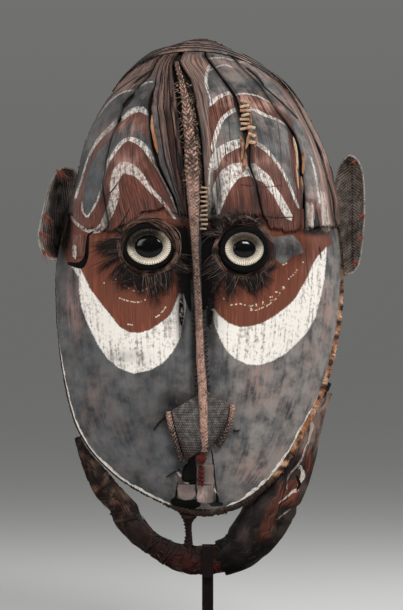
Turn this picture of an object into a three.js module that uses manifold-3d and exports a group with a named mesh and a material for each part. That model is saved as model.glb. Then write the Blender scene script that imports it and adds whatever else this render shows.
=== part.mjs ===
// A tall gable mask of painted palm spathe on cane, held by its jaw loop on a museum post.
// Millimetres, +Z up. The mask looks along -Y. The origin is the middle of the base's underside.

import * as THREE from 'three';
import { mergeVertices } from 'three/addons/utils/BufferGeometryUtils.js';
import Module from 'manifold-3d';

const wasm = await Module();
wasm.setup();

// Driving sizes

const rim = {                       // the open back edge of the head, seen from the front
  right: [[59, -66, 298], [122, -58, 350], [166, -46, 421], [206, -30, 502], [234, -10, 615],
    [241, 10, 723], [234, 26, 801], [226, 46, 885], [200, 73, 961], [154, 106, 1041], [79, 136, 1098]],
  left: [[-88, -66, 303], [-170, -58, 352], [-229, -46, 423], [-257, -30, 517], [-271, -10, 628],
    [-272, 10, 723], [-254, 26, 801], [-237, 46, 878], [-216, 73, 961], [-170, 106, 1043],
    [-101, 136, 1110]],
  chin: [-15, -72, 282],
  crown: [-8, 160, 1143],
};
const profile = {                   // the head's front line in side view, and how square its section is
  points: [[-15, -72, 282], [-15, -88, 306], [-15, -106, 360], [-17, -120, 435], [-17, -130, 523],
    [-17, -137, 628], [-17, -141, 721], [-17, -142, 807], [-17, -122, 895], [-17, -70, 988],
    [-16, 13, 1071], [-12, 98, 1123], [-8, 160, 1143]],
  fall: [1.7, 1.7, 1.7, 1.7, 1.7, 1.6, 1.45, 1.3, 1.2, 1.12, 1.08, 1.04, 1],
};
const sheetThickness = 4;
const liningDepth = 5.5;            // from the outer surface down to the lining
const gap = 0.3;                    // between pieces that touch
const seatGap = 1.5;                // between two curved sheets that lie on each other

const faceFoot = 0.048;             // how far up the head each layer starts or ends, 0 chin to 1 crown
const faceTop = 0.6;
const liningFoot = 0.577;           // the lining starts behind the face sheet's upper edge
const stripTop = 0.9;
const crownTop = 0.984;
const rimClear = 2.6;               // from the rim hoop to the sheets that end at it

const browLine = [[-240, 816], [-228, 788], [-173, 780], [-119, 811], [-75, 821], [-49, 808], [7, 798],
  [63, 808], [95, 806], [106, 786], [158, 780], [163, 787], [222, 793], [236, 796]];

// Splits between the forehead strips: x, z and width of the split
const splitLeft = [[-171, 794, 2], [-186, 873, 3], [-179, 918, 4], [-159, 988, 4], [-145, 1026, 13],
  [-124, 1088, 4]];
const splitCentre = [[-50, 808, 2], [-59, 840, 3], [-88, 899, 6], [-95, 936, 10], [-103, 999, 10],
  [-99, 1042, 4], [-88, 1100, 3]];
const splitRight = [[95, 800, 2], [83, 867, 2], [73, 898, 4], [71, 934, 8], [63, 971, 8], [52, 1008, 8],
  [47, 1027, 5], [-4, 1103, 3]];
const splitTemple = [[164, 780, 9], [164, 855, 10], [163, 910, 10], [151, 965, 8], [132, 992, 6],
  [104, 1040, 6], [70, 1082, 8]];
const splitEdge = [[226, 790, 2], [220, 840, 3], [203, 922, 4], [177, 986, 3], [140, 1048, 3]];

// The ridge, from the tip of the nose up to the crown: x, z, half width, height over the head
const ridgeLine = [[-6, 394, 5, 34], [-7, 431, 5.5, 36], [-9, 500, 6, 30], [-13, 560, 5.5, 26],
  [-16, 642, 4.5, 26], [-22, 747, 4.5, 28], [-25, 835, 8, 28], [-28, 888, 9, 28], [-31, 942, 7, 28],
  [-40, 1017, 6, 24], [-48, 1056, 4.5, 18], [-57, 1093, 3, 9]];

const eyes = {
  left: { x: -103, z: 753, width: 92, height: 84, shell: [76, 62], pupil: [47, 36] },
  right: { x: 64, z: 749, width: 90, height: 84, shell: [68, 60], pupil: [40, 31] },
};
const eyeHeight = 17;               // over the face at the eye's middle
const eyeTurn = 0.5;                // how much of the face's slope the eye follows

const nose = {
  left: { root: [[-17, 496], [-18, 470], [-17, 440], [-16, 415], [-15, 398]],
    edge: [[-63, 466], [-60, 447], [-52, 418], [-44, 391], [-39, 377]] },
  right: { root: [[0, 502], [0, 475], [1, 445], [2, 415], [4, 398]],
    edge: [[38, 478], [35, 455], [27, 432], [18, 414], [11, 405]] },
  rise: [8, 20, 28, 32, 33],        // how far the root stands over the face, from top to tip
};

const jawLoop = [                   // x, y, z, half width, half depth
  [-233, -33, 414, 5, 5], [-222, -38, 388, 9, 7], [-205, -40, 358, 16, 10], [-184, -42, 326, 22, 14],
  [-160, -44, 299, 21, 16],
  [-139, -44, 264, 23, 18], [-107, -43, 231, 20, 18], [-73, -41, 210, 21, 19], [-46, -40, 199, 25, 19],
  [-14, -40, 196, 25, 19], [17, -40, 198, 25, 19], [52, -40, 213, 28, 19], [78, -38, 243, 33, 18],
  [105, -34, 284, 34, 16], [138, -29, 328, 26, 13], [167, -24, 393, 18, 9], [191, -16, 459, 10, 7],
  [216, -5, 512, 7, 5]];
const sheath = {                    // painted spathe round the right arm, from this far along the loop
  from: 0.6, swell: [[1], [6], [10], [10], [8], [6], [3]], thickness: 3,
};

const rimSize = { chin: 8, right: 6.8, left: 3.4, crown: 5 };     // the hoop's radius round the head

const ears = {
  left: {
    side: -1, inner: [-251, 43, 815], tilt: 0.064,
    outline: [[-246, 900], [-236, 886], [-242, 850], [-248, 805], [-253, 762], [-262, 741], [-277, 732],
      [-292, 735], [-303, 753], [-306, 778], [-301, 808], [-293, 845], [-282, 878], [-266, 899]],
    tassels: [[-271, 893], [-294, 811], [-300, 780], [-295, 747]],
  },
  right: {
    side: 1, inner: [232, 43, 815], tilt: 0.165,
    outline: [[255, 924], [240, 903], [232, 875], [228, 835], [225, 785], [226, 745], [234, 714],
      [248, 704], [263, 709], [274, 727], [280, 765], [284, 813], [284, 867], [279, 901], [269, 918]],
    tassels: [[267, 911], [280, 811], [277, 771], [268, 728]],
  },
};
const earLean = 0.72;               // how much further forward the outer edge stands, per mm of width
const earDepth = 26;

const strut = [[-35, -42, 226, 8], [-34, -50, 240, 6.5], [-35, -60, 256, 6.5], [-35, -66, 269, 10]];

// Small pieces on the face, by their ranges of x and z; lift is from the back to the front
const tear = { x: -34, z: 355, halfWidth: 13, halfHeight: 20 };
const backing = { x: [-62, -6], z: [322, 388], thickness: 3 };
const templeTab = { x: [-242, -220], z: [736, 776], lift: [1.2, 4] };
const chinStrip = { x: [-19, 11], z: [300, 370], lift: [[5, 8], [1.5, 4]] };
const chinFlap = { x: [-53, -22], z: [306, 334], lift: [[5, 7.5], [1.5, 4]], corner: 7 };
const twigs = { upper_left: [[-78, 452], [-94, 432]], lower_left: [[-50, 360], [-72, 348]],
  right: [[46, 430], [54, 430]] };
const twigSize = { lift: 3.4, radius: 1.8 };
const beadCluster = { x: -11, z: 381, lift: 18, radius: 4.2, spread: [6, 5], count: 6 };
const beadString = { x: -12, z: 364, lift: 10.5, radius: 4, step: 6.6, count: 5 };

// Cords across the splits: the line they follow, how many bars, half their length, lift and radius
const cords = {
  ridge_stitches: { finish: 'shell', line: [[-7, 784], [-7, 856]], bars: 8, half: 6.5,
    lift: 7.5, radius: 1.8 },
  split_lashing_upper: { finish: 'cane', line: [[72, 925], [64, 968], [56, 998]], bars: 6, half: 12,
    lift: 5, radius: 2.4 },
  split_lashing_temple: { finish: 'cane', line: [[165, 852], [164, 888], [162, 918], [152, 960]], bars: 8,
    half: 8, lift: 8.5, radius: 2.4 },
};
const splitCane = { line: [[-96, 930], [-103, 994]], lift: -0.5, radius: 2.6 };

// Fans of feathers: the eye, angles from +X in degrees, length and lift
const fans = {
  left: { eye: 'left', from: 165, to: 330, length: 34, lift: 6 },
  right: { eye: 'right', from: 205, to: 330, length: 30, lift: 6 },
  brow: { eye: 'right', from: 70, to: 140, length: 24, lift: 9 },
};
const featherThickness = 2.5;

const stand = { base: 300, baseThickness: 12, baseCorner: 8, post: 20, strap: 3.2, lip: 222 };

// The head's surface

const vec = (x, y, z) => new THREE.Vector3(x, y, z);
const curve = (points, closed = false) =>
  new THREE.CatmullRomCurve3(points.map((p) => vec(...p)), closed, 'catmullrom', 0.5);
const mix = THREE.MathUtils.lerp;
const clamp = THREE.MathUtils.clamp;
const smooth = THREE.MathUtils.smoothstep;
const degrees = THREE.MathUtils.degToRad;

const rimPoints = [rim.chin, ...rim.right, rim.crown, ...[...rim.left].reverse()];
const rimCurve = curve(rimPoints, true);
const profileCurve = curve(profile.points);
const fallCurve = curve(profile.fall.map((f) => [f, 0, 0]));

// The rim's two sides, the front line and the section's fall at height v (0 chin, 1 crown)
function section(v) {
  return {
    right: rimCurve.getPoint(v / 2),
    left: rimCurve.getPoint((1 - v / 2) % 1),
    front: profileCurve.getPoint(v),
    fall: fallCurve.getPoint(v).x,
  };
}

// Middle of the rim + half its width * sin(angle) + (front - middle) * cos(angle)^fall
function headAt(angle, v) {
  const s = section(v);
  const middle = s.left.clone().add(s.right).multiplyScalar(0.5);
  const half = s.right.clone().sub(s.left).multiplyScalar(0.5);
  const bulge = Math.pow(Math.max(Math.cos(angle), 0), s.fall);
  return middle.clone().addScaledVector(half, Math.sin(angle))
    .addScaledVector(s.front.sub(middle), bulge);
}

// The angle at height v whose point is seen at x from the front
function angleAt(x, v) {
  const s = section(v);
  const middle = (s.left.x + s.right.x) / 2;
  const half = Math.max((s.right.x - s.left.x) / 2, 1e-6);
  let angle = 0;
  for (let i = 0; i < 8; i += 1) {
    const bulge = Math.pow(Math.max(Math.cos(angle), 0), s.fall);
    angle = Math.asin(clamp((x - middle - (s.front.x - middle) * bulge) / half, -1, 1));
  }
  return angle;
}

// Angle and height of the surface point seen at x, z from the front, by halving the range of v
function placeOf(x, z) {
  let low = 0;
  let high = 1;
  for (let i = 0; i < 30; i += 1) {
    const v = (low + high) / 2;
    if (headAt(angleAt(x, v), v).z < z) low = v;
    else high = v;
  }
  return { angle: angleAt(x, low), v: low };
}

function normalAt(angle, v) {
  const step = 0.004;
  const u = clamp(v, 0.02, 0.97);
  const a = clamp(angle, degrees(-86), degrees(86));
  const across = headAt(a + step, u).sub(headAt(a - step, u));
  const up = headAt(a, u + step).sub(headAt(a, u - step));
  return across.cross(up).normalize();
}

const lifted = (angle, v, lift) => headAt(angle, v).addScaledVector(normalAt(angle, v), lift);

// A point over the surface seen at x, z from the front, moved straight forward by lift
function over(x, z, lift) {
  const place = placeOf(x, z);
  return vec(x, headAt(place.angle, place.v).y - lift, z);
}

// The rim hoop's radius at height v, thick at the chin; side is -1 left, +1 right
function hoopRadius(v, side) {
  const low = side > 0 ? mix(rimSize.chin, rimSize.right, smooth(v, 0, 0.1))
    : mix(rimSize.chin, rimSize.left, smooth(v, 0.03, 0.085));
  return mix(low, rimSize.crown, smooth(v, 0.5, 0.62));
}

// How far round the section a sheet may go before it comes too near the hoop
function edgeAngle(v, side) {
  const rimSide = section(v)[side > 0 ? 'right' : 'left'];
  const margin = hoopRadius(v, side) + mix(3, 1, smooth(v, 0.04, 0.12)) * rimClear;
  let angle = 89;
  while (headAt(degrees(side * angle), v).distanceTo(rimSide) < margin) angle -= 0.5;
  return side * degrees(angle);
}

// Solids from grids of points

function solid(points, faces) {
  const index = [];
  for (const f of faces) {
    for (let k = 2; k < f.length; k += 1) index.push(f[0], f[k - 1], f[k]);
  }
  const geometry = new THREE.BufferGeometry();
  geometry.setAttribute('position', new THREE.Float32BufferAttribute(points.flatMap((p) => p.toArray()), 3));
  geometry.setIndex(index);
  return closed(geometry);
}

// Shared corners are merged, empty faces dropped, and the faces turned outward
function closed(source) {
  const bare = source.clone();
  bare.deleteAttribute('normal');
  bare.deleteAttribute('uv');
  const merged = mergeVertices(bare, 1e-3);
  const corner = (i) => vec().fromBufferAttribute(merged.attributes.position, i);
  const kept = [];
  let volume = 0;
  const index = merged.index.array;
  for (let i = 0; i < index.length; i += 3) {
    const [a, b, c] = [index[i], index[i + 1], index[i + 2]];
    if (a === b || b === c || c === a) continue;
    kept.push(a, b, c);
    volume += corner(a).dot(corner(b).cross(corner(c)));
  }
  if (volume < 0) kept.reverse();
  merged.setIndex(kept);
  return merged;
}

// Rings of points joined in order, each end closed by a fan from its middle
function loft(rings) {
  const n = rings[0].length;
  const points = rings.flat();
  const faces = [];
  for (let r = 1; r < rings.length; r += 1) {
    for (let i = 0; i < n; i += 1) {
      const j = (i + 1) % n;
      faces.push([(r - 1) * n + i, (r - 1) * n + j, r * n + j, r * n + i]);
    }
  }
  for (const [ring, start, turn] of [[rings[0], 0, 1], [rings.at(-1), (rings.length - 1) * n, -1]]) {
    const middle = ring.reduce((sum, p) => sum.add(p), vec(0, 0, 0)).divideScalar(n);
    points.push(middle);
    for (let i = 0; i < n; i += 1) {
      const pair = [start + i, start + ((i + 1) % n)];
      if (turn > 0) pair.reverse();
      faces.push([points.length - 1, ...pair]);
    }
  }
  return solid(points, faces);
}

// A sheet between two grids of points, outer(s, t) and inner(s, t)
function sheet(columns, rows, outer, inner) {
  const points = [];
  for (const side of [outer, inner]) {
    for (let r = 0; r <= rows; r += 1) {
      for (let c = 0; c <= columns; c += 1) points.push(side(c / columns, r / rows));
    }
  }
  const at = (side, c, r) => side * (columns + 1) * (rows + 1) + r * (columns + 1) + c;
  const faces = [];
  for (let r = 0; r < rows; r += 1) {
    for (let c = 0; c < columns; c += 1) {
      faces.push([at(0, c, r), at(0, c + 1, r), at(0, c + 1, r + 1), at(0, c, r + 1)]);
      faces.push([at(1, c, r), at(1, c, r + 1), at(1, c + 1, r + 1), at(1, c + 1, r)]);
    }
  }
  for (let c = 0; c < columns; c += 1) {
    faces.push([at(0, c + 1, 0), at(0, c, 0), at(1, c, 0), at(1, c + 1, 0)]);
    faces.push([at(0, c, rows), at(0, c + 1, rows), at(1, c + 1, rows), at(1, c, rows)]);
  }
  for (let r = 0; r < rows; r += 1) {
    faces.push([at(0, 0, r), at(0, 0, r + 1), at(1, 0, r + 1), at(1, 0, r)]);
    faces.push([at(0, columns, r + 1), at(0, columns, r), at(1, columns, r), at(1, columns, r + 1)]);
  }
  return solid(points, faces);
}

// An oval section at each point of a path, half wide across the path and half deep towards depth
function tube(path, sides, sizeAt, depth = vec(0, 1, 0)) {
  const rings = path.map((centre, i) => {
    const t = i / (path.length - 1);
    const along = path[Math.min(i + 1, path.length - 1)].clone().sub(path[Math.max(i - 1, 0)]).normalize();
    const across = along.clone().cross(depth).normalize();
    const deep = across.clone().cross(along).normalize();
    const [wide, tall] = sizeAt(t);
    return Array.from({ length: sides }, (_, k) => {
      const a = (k / sides) * 2 * Math.PI;
      return centre.clone().addScaledVector(across, wide * Math.cos(a))
        .addScaledVector(deep, tall * Math.sin(a));
    });
  });
  return loft(rings);
}

function toManifold(geometry) {
  return new wasm.Manifold(new wasm.Mesh({
    numProp: 3,
    vertProperties: new Float32Array(geometry.attributes.position.array),
    triVerts: new Uint32Array(geometry.index.array),
  }));
}

function fromManifold(body) {
  const mesh = body.getMesh();
  const geometry = new THREE.BufferGeometry();
  geometry.setAttribute('position', new THREE.Float32BufferAttribute(mesh.vertProperties, 3));
  geometry.setIndex([...mesh.triVerts]);
  return closed(geometry);
}

const joined = (solids) => fromManifold(solids.map(toManifold).reduce((a, b) => a.add(b)));
const cut = (body, tool) => fromManifold(toManifold(body).subtract(toManifold(tool)));

// Numbers read off a list of equal-length rows, t running from the first row to the last
function rowAt(rows, t) {
  const place = clamp(t, 0, 1) * (rows.length - 1);
  const i = Math.min(Math.floor(place), rows.length - 2);
  return rows[i].map((value, k) => mix(value, rows[i + 1][k], place - i));
}

// Materials

const finishes = {
  spathe: [0x4a4742, 0.75], redSpathe: [0x6b4034, 0.8], face: [0x3d3f43, 0.6], lining: [0x17120f, 0.9],
  plait: [0x8a6a5c, 0.85], knit: [0x55524f, 0.9], cane: [0x9a6b45, 0.6], paste: [0x0c0b0b, 0.5],
  shell: [0xddd3be, 0.45], pupil: [0x050505, 0.12], feather: [0x1d1512, 0.8], bead: [0xa03226, 0.4],
  binding: [0x3a261e, 0.85], basket: [0x3b3834, 0.85], tassel: [0xa8402f, 0.8], steel: [0x2a1614, 0.5],
};

const mask = new THREE.Group();

function add(name, finish, geometry) {
  const [color, roughness] = finishes[finish];
  const metalness = finish === 'steel' ? 0.6 : 0;
  const material = new THREE.MeshStandardMaterial({ color, roughness, metalness });
  const mesh = new THREE.Mesh(geometry, material);
  mesh.name = name;
  mask.add(mesh);
  return mesh;
}

// Stand: plate, and a post whose U-shaped cradle straddles the loop's lowest point

function roundedSquare(size, corner) {
  const h = size / 2;
  const shape = new THREE.Shape();
  shape.moveTo(-h + corner, -h);
  for (const [x, y, start] of [[1, -1, -0.5], [1, 1, 0], [-1, 1, 0.5], [-1, -1, 1]]) {
    shape.absarc(x * (h - corner), y * (h - corner), corner, start * Math.PI, (start + 0.5) * Math.PI);
  }
  return shape;
}

function buildStand() {
  const plate = new THREE.ExtrudeGeometry(roundedSquare(stand.base, stand.baseCorner),
    { depth: stand.baseThickness, bevelEnabled: false, curveSegments: 2 });
  add('stand_base', 'steel', closed(plate));

  const [, loopY, loopZ, loopHalf, loopDeep] = jawLoop[9];
  const inside = loopDeep + 1;
  const outside = inside + stand.strap;
  const floor = loopZ - loopHalf - 1;
  const under = floor - stand.strap;
  const h = stand.post / 2;
  const side = new THREE.Shape([[-h, stand.baseThickness + gap], [h, stand.baseThickness + gap], [h, under],
    [outside, under], [outside, stand.lip], [inside, stand.lip], [inside, floor], [-inside, floor],
    [-inside, stand.lip], [-outside, stand.lip], [-outside, under], [-h, under]]
    .map(([x, y]) => new THREE.Vector2(x, y)));
  const post = new THREE.ExtrudeGeometry(side, { depth: stand.post, bevelEnabled: false });
  post.rotateX(Math.PI / 2);
  post.rotateZ(Math.PI / 2);
  const mesh = add('stand_post', 'steel', closed(post));
  mesh.position.set(-h, loopY, 0);
}

// Head: lining, face sheet, forehead strips, crown strips, temple tab

// The value at key among places sorted by their from field, read off their to field
function between(places, from, to, key) {
  const last = places.length - 1;
  const i = Math.max(1, places.findIndex((p, k) => p[from] > key || k === last));
  const [a, b] = [places[i - 1], places[i]];
  return mix(a[to], b[to], clamp((key - a[from]) / (b[from] - a[from]), 0, 1));
}

const browPlaces = browLine.map(([x, z]) => placeOf(x, z));
const browAt = (angle) => between(browPlaces, 'angle', 'v', angle);

// The angle of one lip of a split at height v: side -1 is its left lip, +1 its right lip
function lip(split, side) {
  const places = split.map(([x, z, width]) => placeOf(x + (side * width) / 2, z));
  return (v) => between(places, 'v', 'angle', v);
}

// A strip lies on the lining, and on the face sheet along its lower edge
const stripFoot = (v) => mix(seatGap, -sheetThickness, smooth(v, faceTop + 0.015, faceTop + 0.06));
const crownFoot = (v) => mix(seatGap, -sheetThickness, smooth(v, stripTop + 0.008, stripTop + 0.03));
const crownThickness = 2.5;

function strip(grid, left, right, bottom, top, foot, thickness) {
  const place = (s, t) => {
    const low = bottom(mix(left(faceTop), right(faceTop), s));
    const v = mix(low, top, t);
    return [mix(left(v), right(v), s), v];
  };
  const outer = (s, t) => {
    const [angle, v] = place(s, t);
    return lifted(angle, v, foot(v) + thickness);
  };
  const inner = (s, t) => {
    const [angle, v] = place(s, t);
    return lifted(angle, v, foot(v));
  };
  return sheet(...grid, outer, inner);
}

// A small sheet over the face; its lift is one pair, or one pair below and one above
function patch(grid, piece) {
  const [low, high] = Array.isArray(piece.lift[0]) ? piece.lift : [piece.lift, piece.lift];
  const side = (k) => (s, t) => {
    const foot = piece.z[0] + (piece.corner ?? 0) * Math.pow(2 * s - 1, 2);
    return over(mix(...piece.x, s), mix(foot, piece.z[1], t), mix(low[k], high[k], t));
  };
  return sheet(...grid, side(1), side(0));
}

function buildHead() {
  const leftEdge = (v) => edgeAngle(v, -1);
  const rightEdge = (v) => edgeAngle(v, 1);
  const lining = (lift) => (s, t) => {
    const v = mix(liningFoot, crownTop, t);
    return lifted(mix(leftEdge(v), rightEdge(v), s), v, lift);
  };
  add('head_lining', 'lining', sheet(16, 10, lining(-liningDepth), lining(-liningDepth - sheetThickness)));

  const face = (lift) => (s, t) => {
    const v = mix(faceFoot, faceTop, t);
    return lifted(mix(leftEdge(v), rightEdge(v), s), v, lift);
  };
  const hole = new THREE.CylinderGeometry(1, 1, 80, 12);
  hole.scale(tear.halfWidth, 1, tear.halfHeight);
  hole.translate(tear.x, profile.points[2][1], tear.z);
  add('face_sheet', 'face', cut(sheet(16, 14, face(0), face(-sheetThickness)), closed(hole)));

  const ridge = ridgeLine.map(([x, z, half]) => [x, z, 2 * half + 6]);
  const stitched = ridge.map(([x, z, width], i) => [x, z, i > 3 && i < 8 ? 2 * width + 6 : width]);
  const forehead = (name, finish, columns, left, right) => add(`forehead_${name}`, finish,
    strip([columns, 9], left, right, browAt, stripTop, stripFoot, sheetThickness));
  forehead('left_outer', 'redSpathe', 4, leftEdge, lip(splitLeft, -1));
  forehead('left_inner', 'redSpathe', 3, lip(splitLeft, 1), lip(splitCentre, -1));
  forehead('left_centre', 'spathe', 2, lip(splitCentre, 1), lip(ridge, -1));
  forehead('right_centre', 'redSpathe', 2, lip(stitched, 1), lip(splitRight, -1));
  forehead('right_middle', 'redSpathe', 3, lip(splitRight, 1), lip(splitTemple, -1));
  forehead('right_narrow', 'spathe', 2, lip(splitTemple, 1), lip(splitEdge, -1));
  forehead('right_outer', 'spathe', 2, lip(splitEdge, 1), rightEdge);

  const crown = (name, finish, from, to) => add(`crown_${name}`, finish,
    strip([4, 4], from, to, () => stripTop - 0.03, crownTop, crownFoot, crownThickness));
  crown('left', 'redSpathe', leftEdge, () => degrees(-24));
  crown('middle', 'redSpathe', () => degrees(-23), () => degrees(24));
  crown('right', 'spathe', () => degrees(25), rightEdge);

  add('temple_tab', 'redSpathe', patch([2, 3], templeTab));
}

function buildBacking() {
  const front = -(sheetThickness + seatGap + 1);
  add('nose_backing', 'lining', patch([3, 3], { ...backing, lift: [front - backing.thickness, front] }));
}

// Centre ridge: a fin with a round plaited front, and the stitches at its right

function buildRidge() {
  const steps = 30;
  const rings = Array.from({ length: steps + 1 }, (_, i) => {
    const [x, z, half, height] = rowAt(ridgeLine, i / steps);
    const wide = half * (i % 2 ? 1 : 0.86);
    const tall = height * (i % 2 ? 1 : 0.97);
    return [[-0.75, 1.2], [-1, tall * 0.55], [-0.72, tall * 0.88], [0, tall], [0.72, tall * 0.88],
      [1, tall * 0.55], [0.75, 1.2]].map(([side, lift]) => over(x + side * wide, z, lift));
  });
  add('centre_ridge', 'plait', loft(rings));
}

// One cord laid to and fro across a split, so that it shows as bars
function stitching(points, bars, half, lift, thickness) {
  const path = [];
  for (let i = 0; i < bars; i += 1) {
    const [x, z] = rowAt(points, i / (bars - 1));
    const turn = i % 2 ? -half : half;
    path.push(over(x - turn, z, lift), over(x + turn, z, lift));
  }
  return tube(path, 4, () => [thickness, thickness]);
}

function buildLashings() {
  for (const [name, cord] of Object.entries(cords)) {
    add(name, cord.finish, stitching(cord.line, cord.bars, cord.half, cord.lift, cord.radius));
  }
  const cane = Array.from({ length: 5 }, (_, i) => over(...rowAt(splitCane.line, i / 4), splitCane.lift));
  add('split_cane_left', 'cane', tube(cane, 6, () => [splitCane.radius, splitCane.radius]));
}

// Eyes: each ring is an oval seen from the front, at a height over the face

function ovalRing(eye, size, heightAt, sides) {
  return Array.from({ length: sides }, (_, k) => {
    const a = (k / sides) * 2 * Math.PI;
    const x = eye.x + (size[0] / 2) * Math.cos(a);
    const z = eye.z + (size[1] / 2) * Math.sin(a);
    return vec(x, heightAt(x, z), z);
  });
}

function buildEye(side, eye) {
  const sides = 18;
  const full = [eye.width, eye.height];
  const slope = eyeTurn * (over(eye.x + 20, eye.z, 0).y - over(eye.x - 20, eye.z, 0).y) / 40;
  const front = over(eye.x, eye.z, eyeHeight).y;
  const onFace = (lift) => (x, z) => over(x, z, lift).y;
  const plane = (depth) => (x) => front + slope * (x - eye.x) + depth;
  const ring = (size, extra, heightAt) => ovalRing(eye, [size[0] + extra, size[1] + extra], heightAt, sides);
  const well = 8;

  add(`eye_paste_${side}`, 'paste', loft([
    ring(full, -46, onFace(1.5)), ring(full, 0, onFace(1.5)), ring(full, 0, onFace(7)),
    ring(full, -6, plane(0)),
    ring(eye.shell, 4, plane(0)), ring(eye.shell, 1, plane(well))]));

  add(`eye_shell_${side}`, 'shell', ringBand([
    ring(eye.shell, 0, plane(well - gap)), ring(eye.shell, 2, plane(-1)), ring(eye.shell, -3, plane(-3)),
    ring(eye.pupil, 5, plane(3)), ring(eye.pupil, 1, plane(4.5)), ring(eye.pupil, 1, plane(well - gap))]));

  add(`eye_pupil_${side}`, 'pupil', loft([
    ring(eye.pupil, 0, plane(well - gap)), ring(eye.pupil, 0, plane(4)), ring(eye.pupil, -14, plane(1))]));

  const turns = 24;
  const cord = Array.from({ length: turns }, (_, k) => {
    const a = (k / turns) * 2 * Math.PI;
    const girth = k % 2 ? 2.9 : 2.3;
    return [0, 1, 2, 3].map((n) => {
      const b = (n / 4) * 2 * Math.PI;
      const out = 5 + girth * Math.cos(b);
      return over(eye.x + (eye.width / 2 + out) * Math.cos(a), eye.z + (eye.height / 2 + out) * Math.sin(a),
        4.8 + girth * Math.sin(b));
    });
  });
  add(`eye_cord_${side}`, 'plait', ringBand([0, 1, 2, 3].map((n) => cord.map((loop) => loop[n]))));
}

// Closed loops joined in order, the last to the first, as round a ring
function ringBand(loops) {
  const n = loops[0].length;
  const faces = [];
  loops.forEach((_, r) => {
    const next = (r + 1) % loops.length;
    for (let i = 0; i < n; i += 1) {
      const j = (i + 1) % n;
      faces.push([r * n + i, r * n + j, next * n + j, next * n + i]);
    }
  });
  return solid(loops.flat(), faces);
}

// A fan of feathers round an eye: angles in degrees from +X, every second tip shorter
function buildFeathers(name, fan) {
  const tips = 14;
  const eye = eyes[fan.eye];
  const reach = (s, t) => {
    const a = degrees(mix(fan.from, fan.to, s));
    const tip = Math.round(s * tips) % 2 ? 0.62 : 1;
    const out = 11 + t * fan.length * tip * (0.75 + 0.25 * Math.cos(5 * s));
    return [eye.x + (eye.width / 2 + out) * Math.cos(a), eye.z + (eye.height / 2 + out) * Math.sin(a)];
  };
  add(`feathers_${name}`, 'feather', sheet(tips, 1,
    (s, t) => over(...reach(s, t), fan.lift + featherThickness), (s, t) => over(...reach(s, t), fan.lift)));
}

// Nose: two knitted wings from the ridge out to plaited edges

function buildNoseWing(side, wing, turn) {
  const place = (s, t) => {
    const [rx, rz] = rowAt(wing.root, t);
    const [ex, ez] = rowAt(wing.edge, t);
    const [rise] = rowAt(nose.rise.map((r) => [r]), t);
    return [mix(rx, ex, s), mix(rz, ez, s), mix(rise, 5, Math.pow(s, 0.85))];
  };
  add(`nose_wing_${side}`, 'knit', sheet(5, 7,
    (s, t) => over(...place(s, t)),
    (s, t) => {
      const [x, z, lift] = place(s, t);
      return over(x, z, lift - 3);
    }));
  const steps = 10;
  const path = Array.from({ length: steps + 1 }, (_, i) => {
    const [x, z] = rowAt(wing.edge, i / steps);
    return over(x + turn * 6.2, z - 2, 6.6);
  });
  add(`nose_edge_${side}`, 'plait', tube(path, 5, (t) => {
    const size = Math.round(t * steps) % 2 ? 4.6 : 3.8;
    return [size, size];
  }));
}

function beads(centres, radius) {
  return joined(centres.map(([x, y, z]) => {
    const ball = new THREE.SphereGeometry(radius, 5, 4);
    ball.translate(x, y, z);
    return closed(ball);
  }));
}

function buildNose() {
  buildNoseWing('left', nose.left, -1);
  buildNoseWing('right', nose.right, 1);

  const heart = over(beadCluster.x, beadCluster.z, beadCluster.lift);
  const round = Array.from({ length: beadCluster.count }, (_, k) => {
    const a = (k / beadCluster.count) * 2 * Math.PI;
    const [wide, high] = beadCluster.spread;
    return [heart.x + wide * Math.cos(a), heart.y - 2, heart.z + high * Math.sin(a)];
  });
  add('nose_bead_cluster', 'bead', beads([heart.toArray(), ...round], beadCluster.radius));
  const string = Array.from({ length: beadString.count },
    (_, k) => over(beadString.x, beadString.z - beadString.step * k, beadString.lift).toArray());
  add('nose_bead_string', 'bead', beads(string, beadString.radius));

  for (const [name, line] of Object.entries(twigs)) {
    const path = [0, 0.5, 1].map((t) => over(...rowAt(line, t), twigSize.lift));
    add(`nose_twig_${name}`, 'cane', tube(path, 5, () => [twigSize.radius, twigSize.radius]));
  }

  add('chin_strip', 'redSpathe', patch([2, 6], chinStrip));
  add('chin_flap', 'spathe', patch([3, 4], chinFlap));
}

// Rim: one cane hoop round the whole head, bound thickly at the chin and down the right cheek

function buildRim() {
  const steps = 64;
  const sides = 5;
  const rings = Array.from({ length: steps }, (_, i) => {
    const t = i / steps;
    const side = t < 0.5 ? 1 : -1;
    const v = side > 0 ? 2 * t : 2 - 2 * t;
    const along = rimCurve.getTangent(t);
    const out = along.clone().cross(vec(0, 1, 0)).normalize();
    const back = along.clone().cross(out).normalize();
    const size = hoopRadius(v, side) * (i % 2 ? 1 : 0.88);
    const point = rimCurve.getPoint(t).addScaledVector(normalAt(side * degrees(86), v), -sheetThickness / 2);
    return Array.from({ length: sides }, (__, k) => {
      const a = (k / sides) * 2 * Math.PI;
      return point.clone().addScaledVector(out, size * Math.cos(a)).addScaledVector(back, size * Math.sin(a));
    });
  });
  add('rim_hoop', 'cane', ringBand(rings));
}

// Jaw: wrapped loop, painted sheath on its right arm, strut up to the chin

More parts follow.
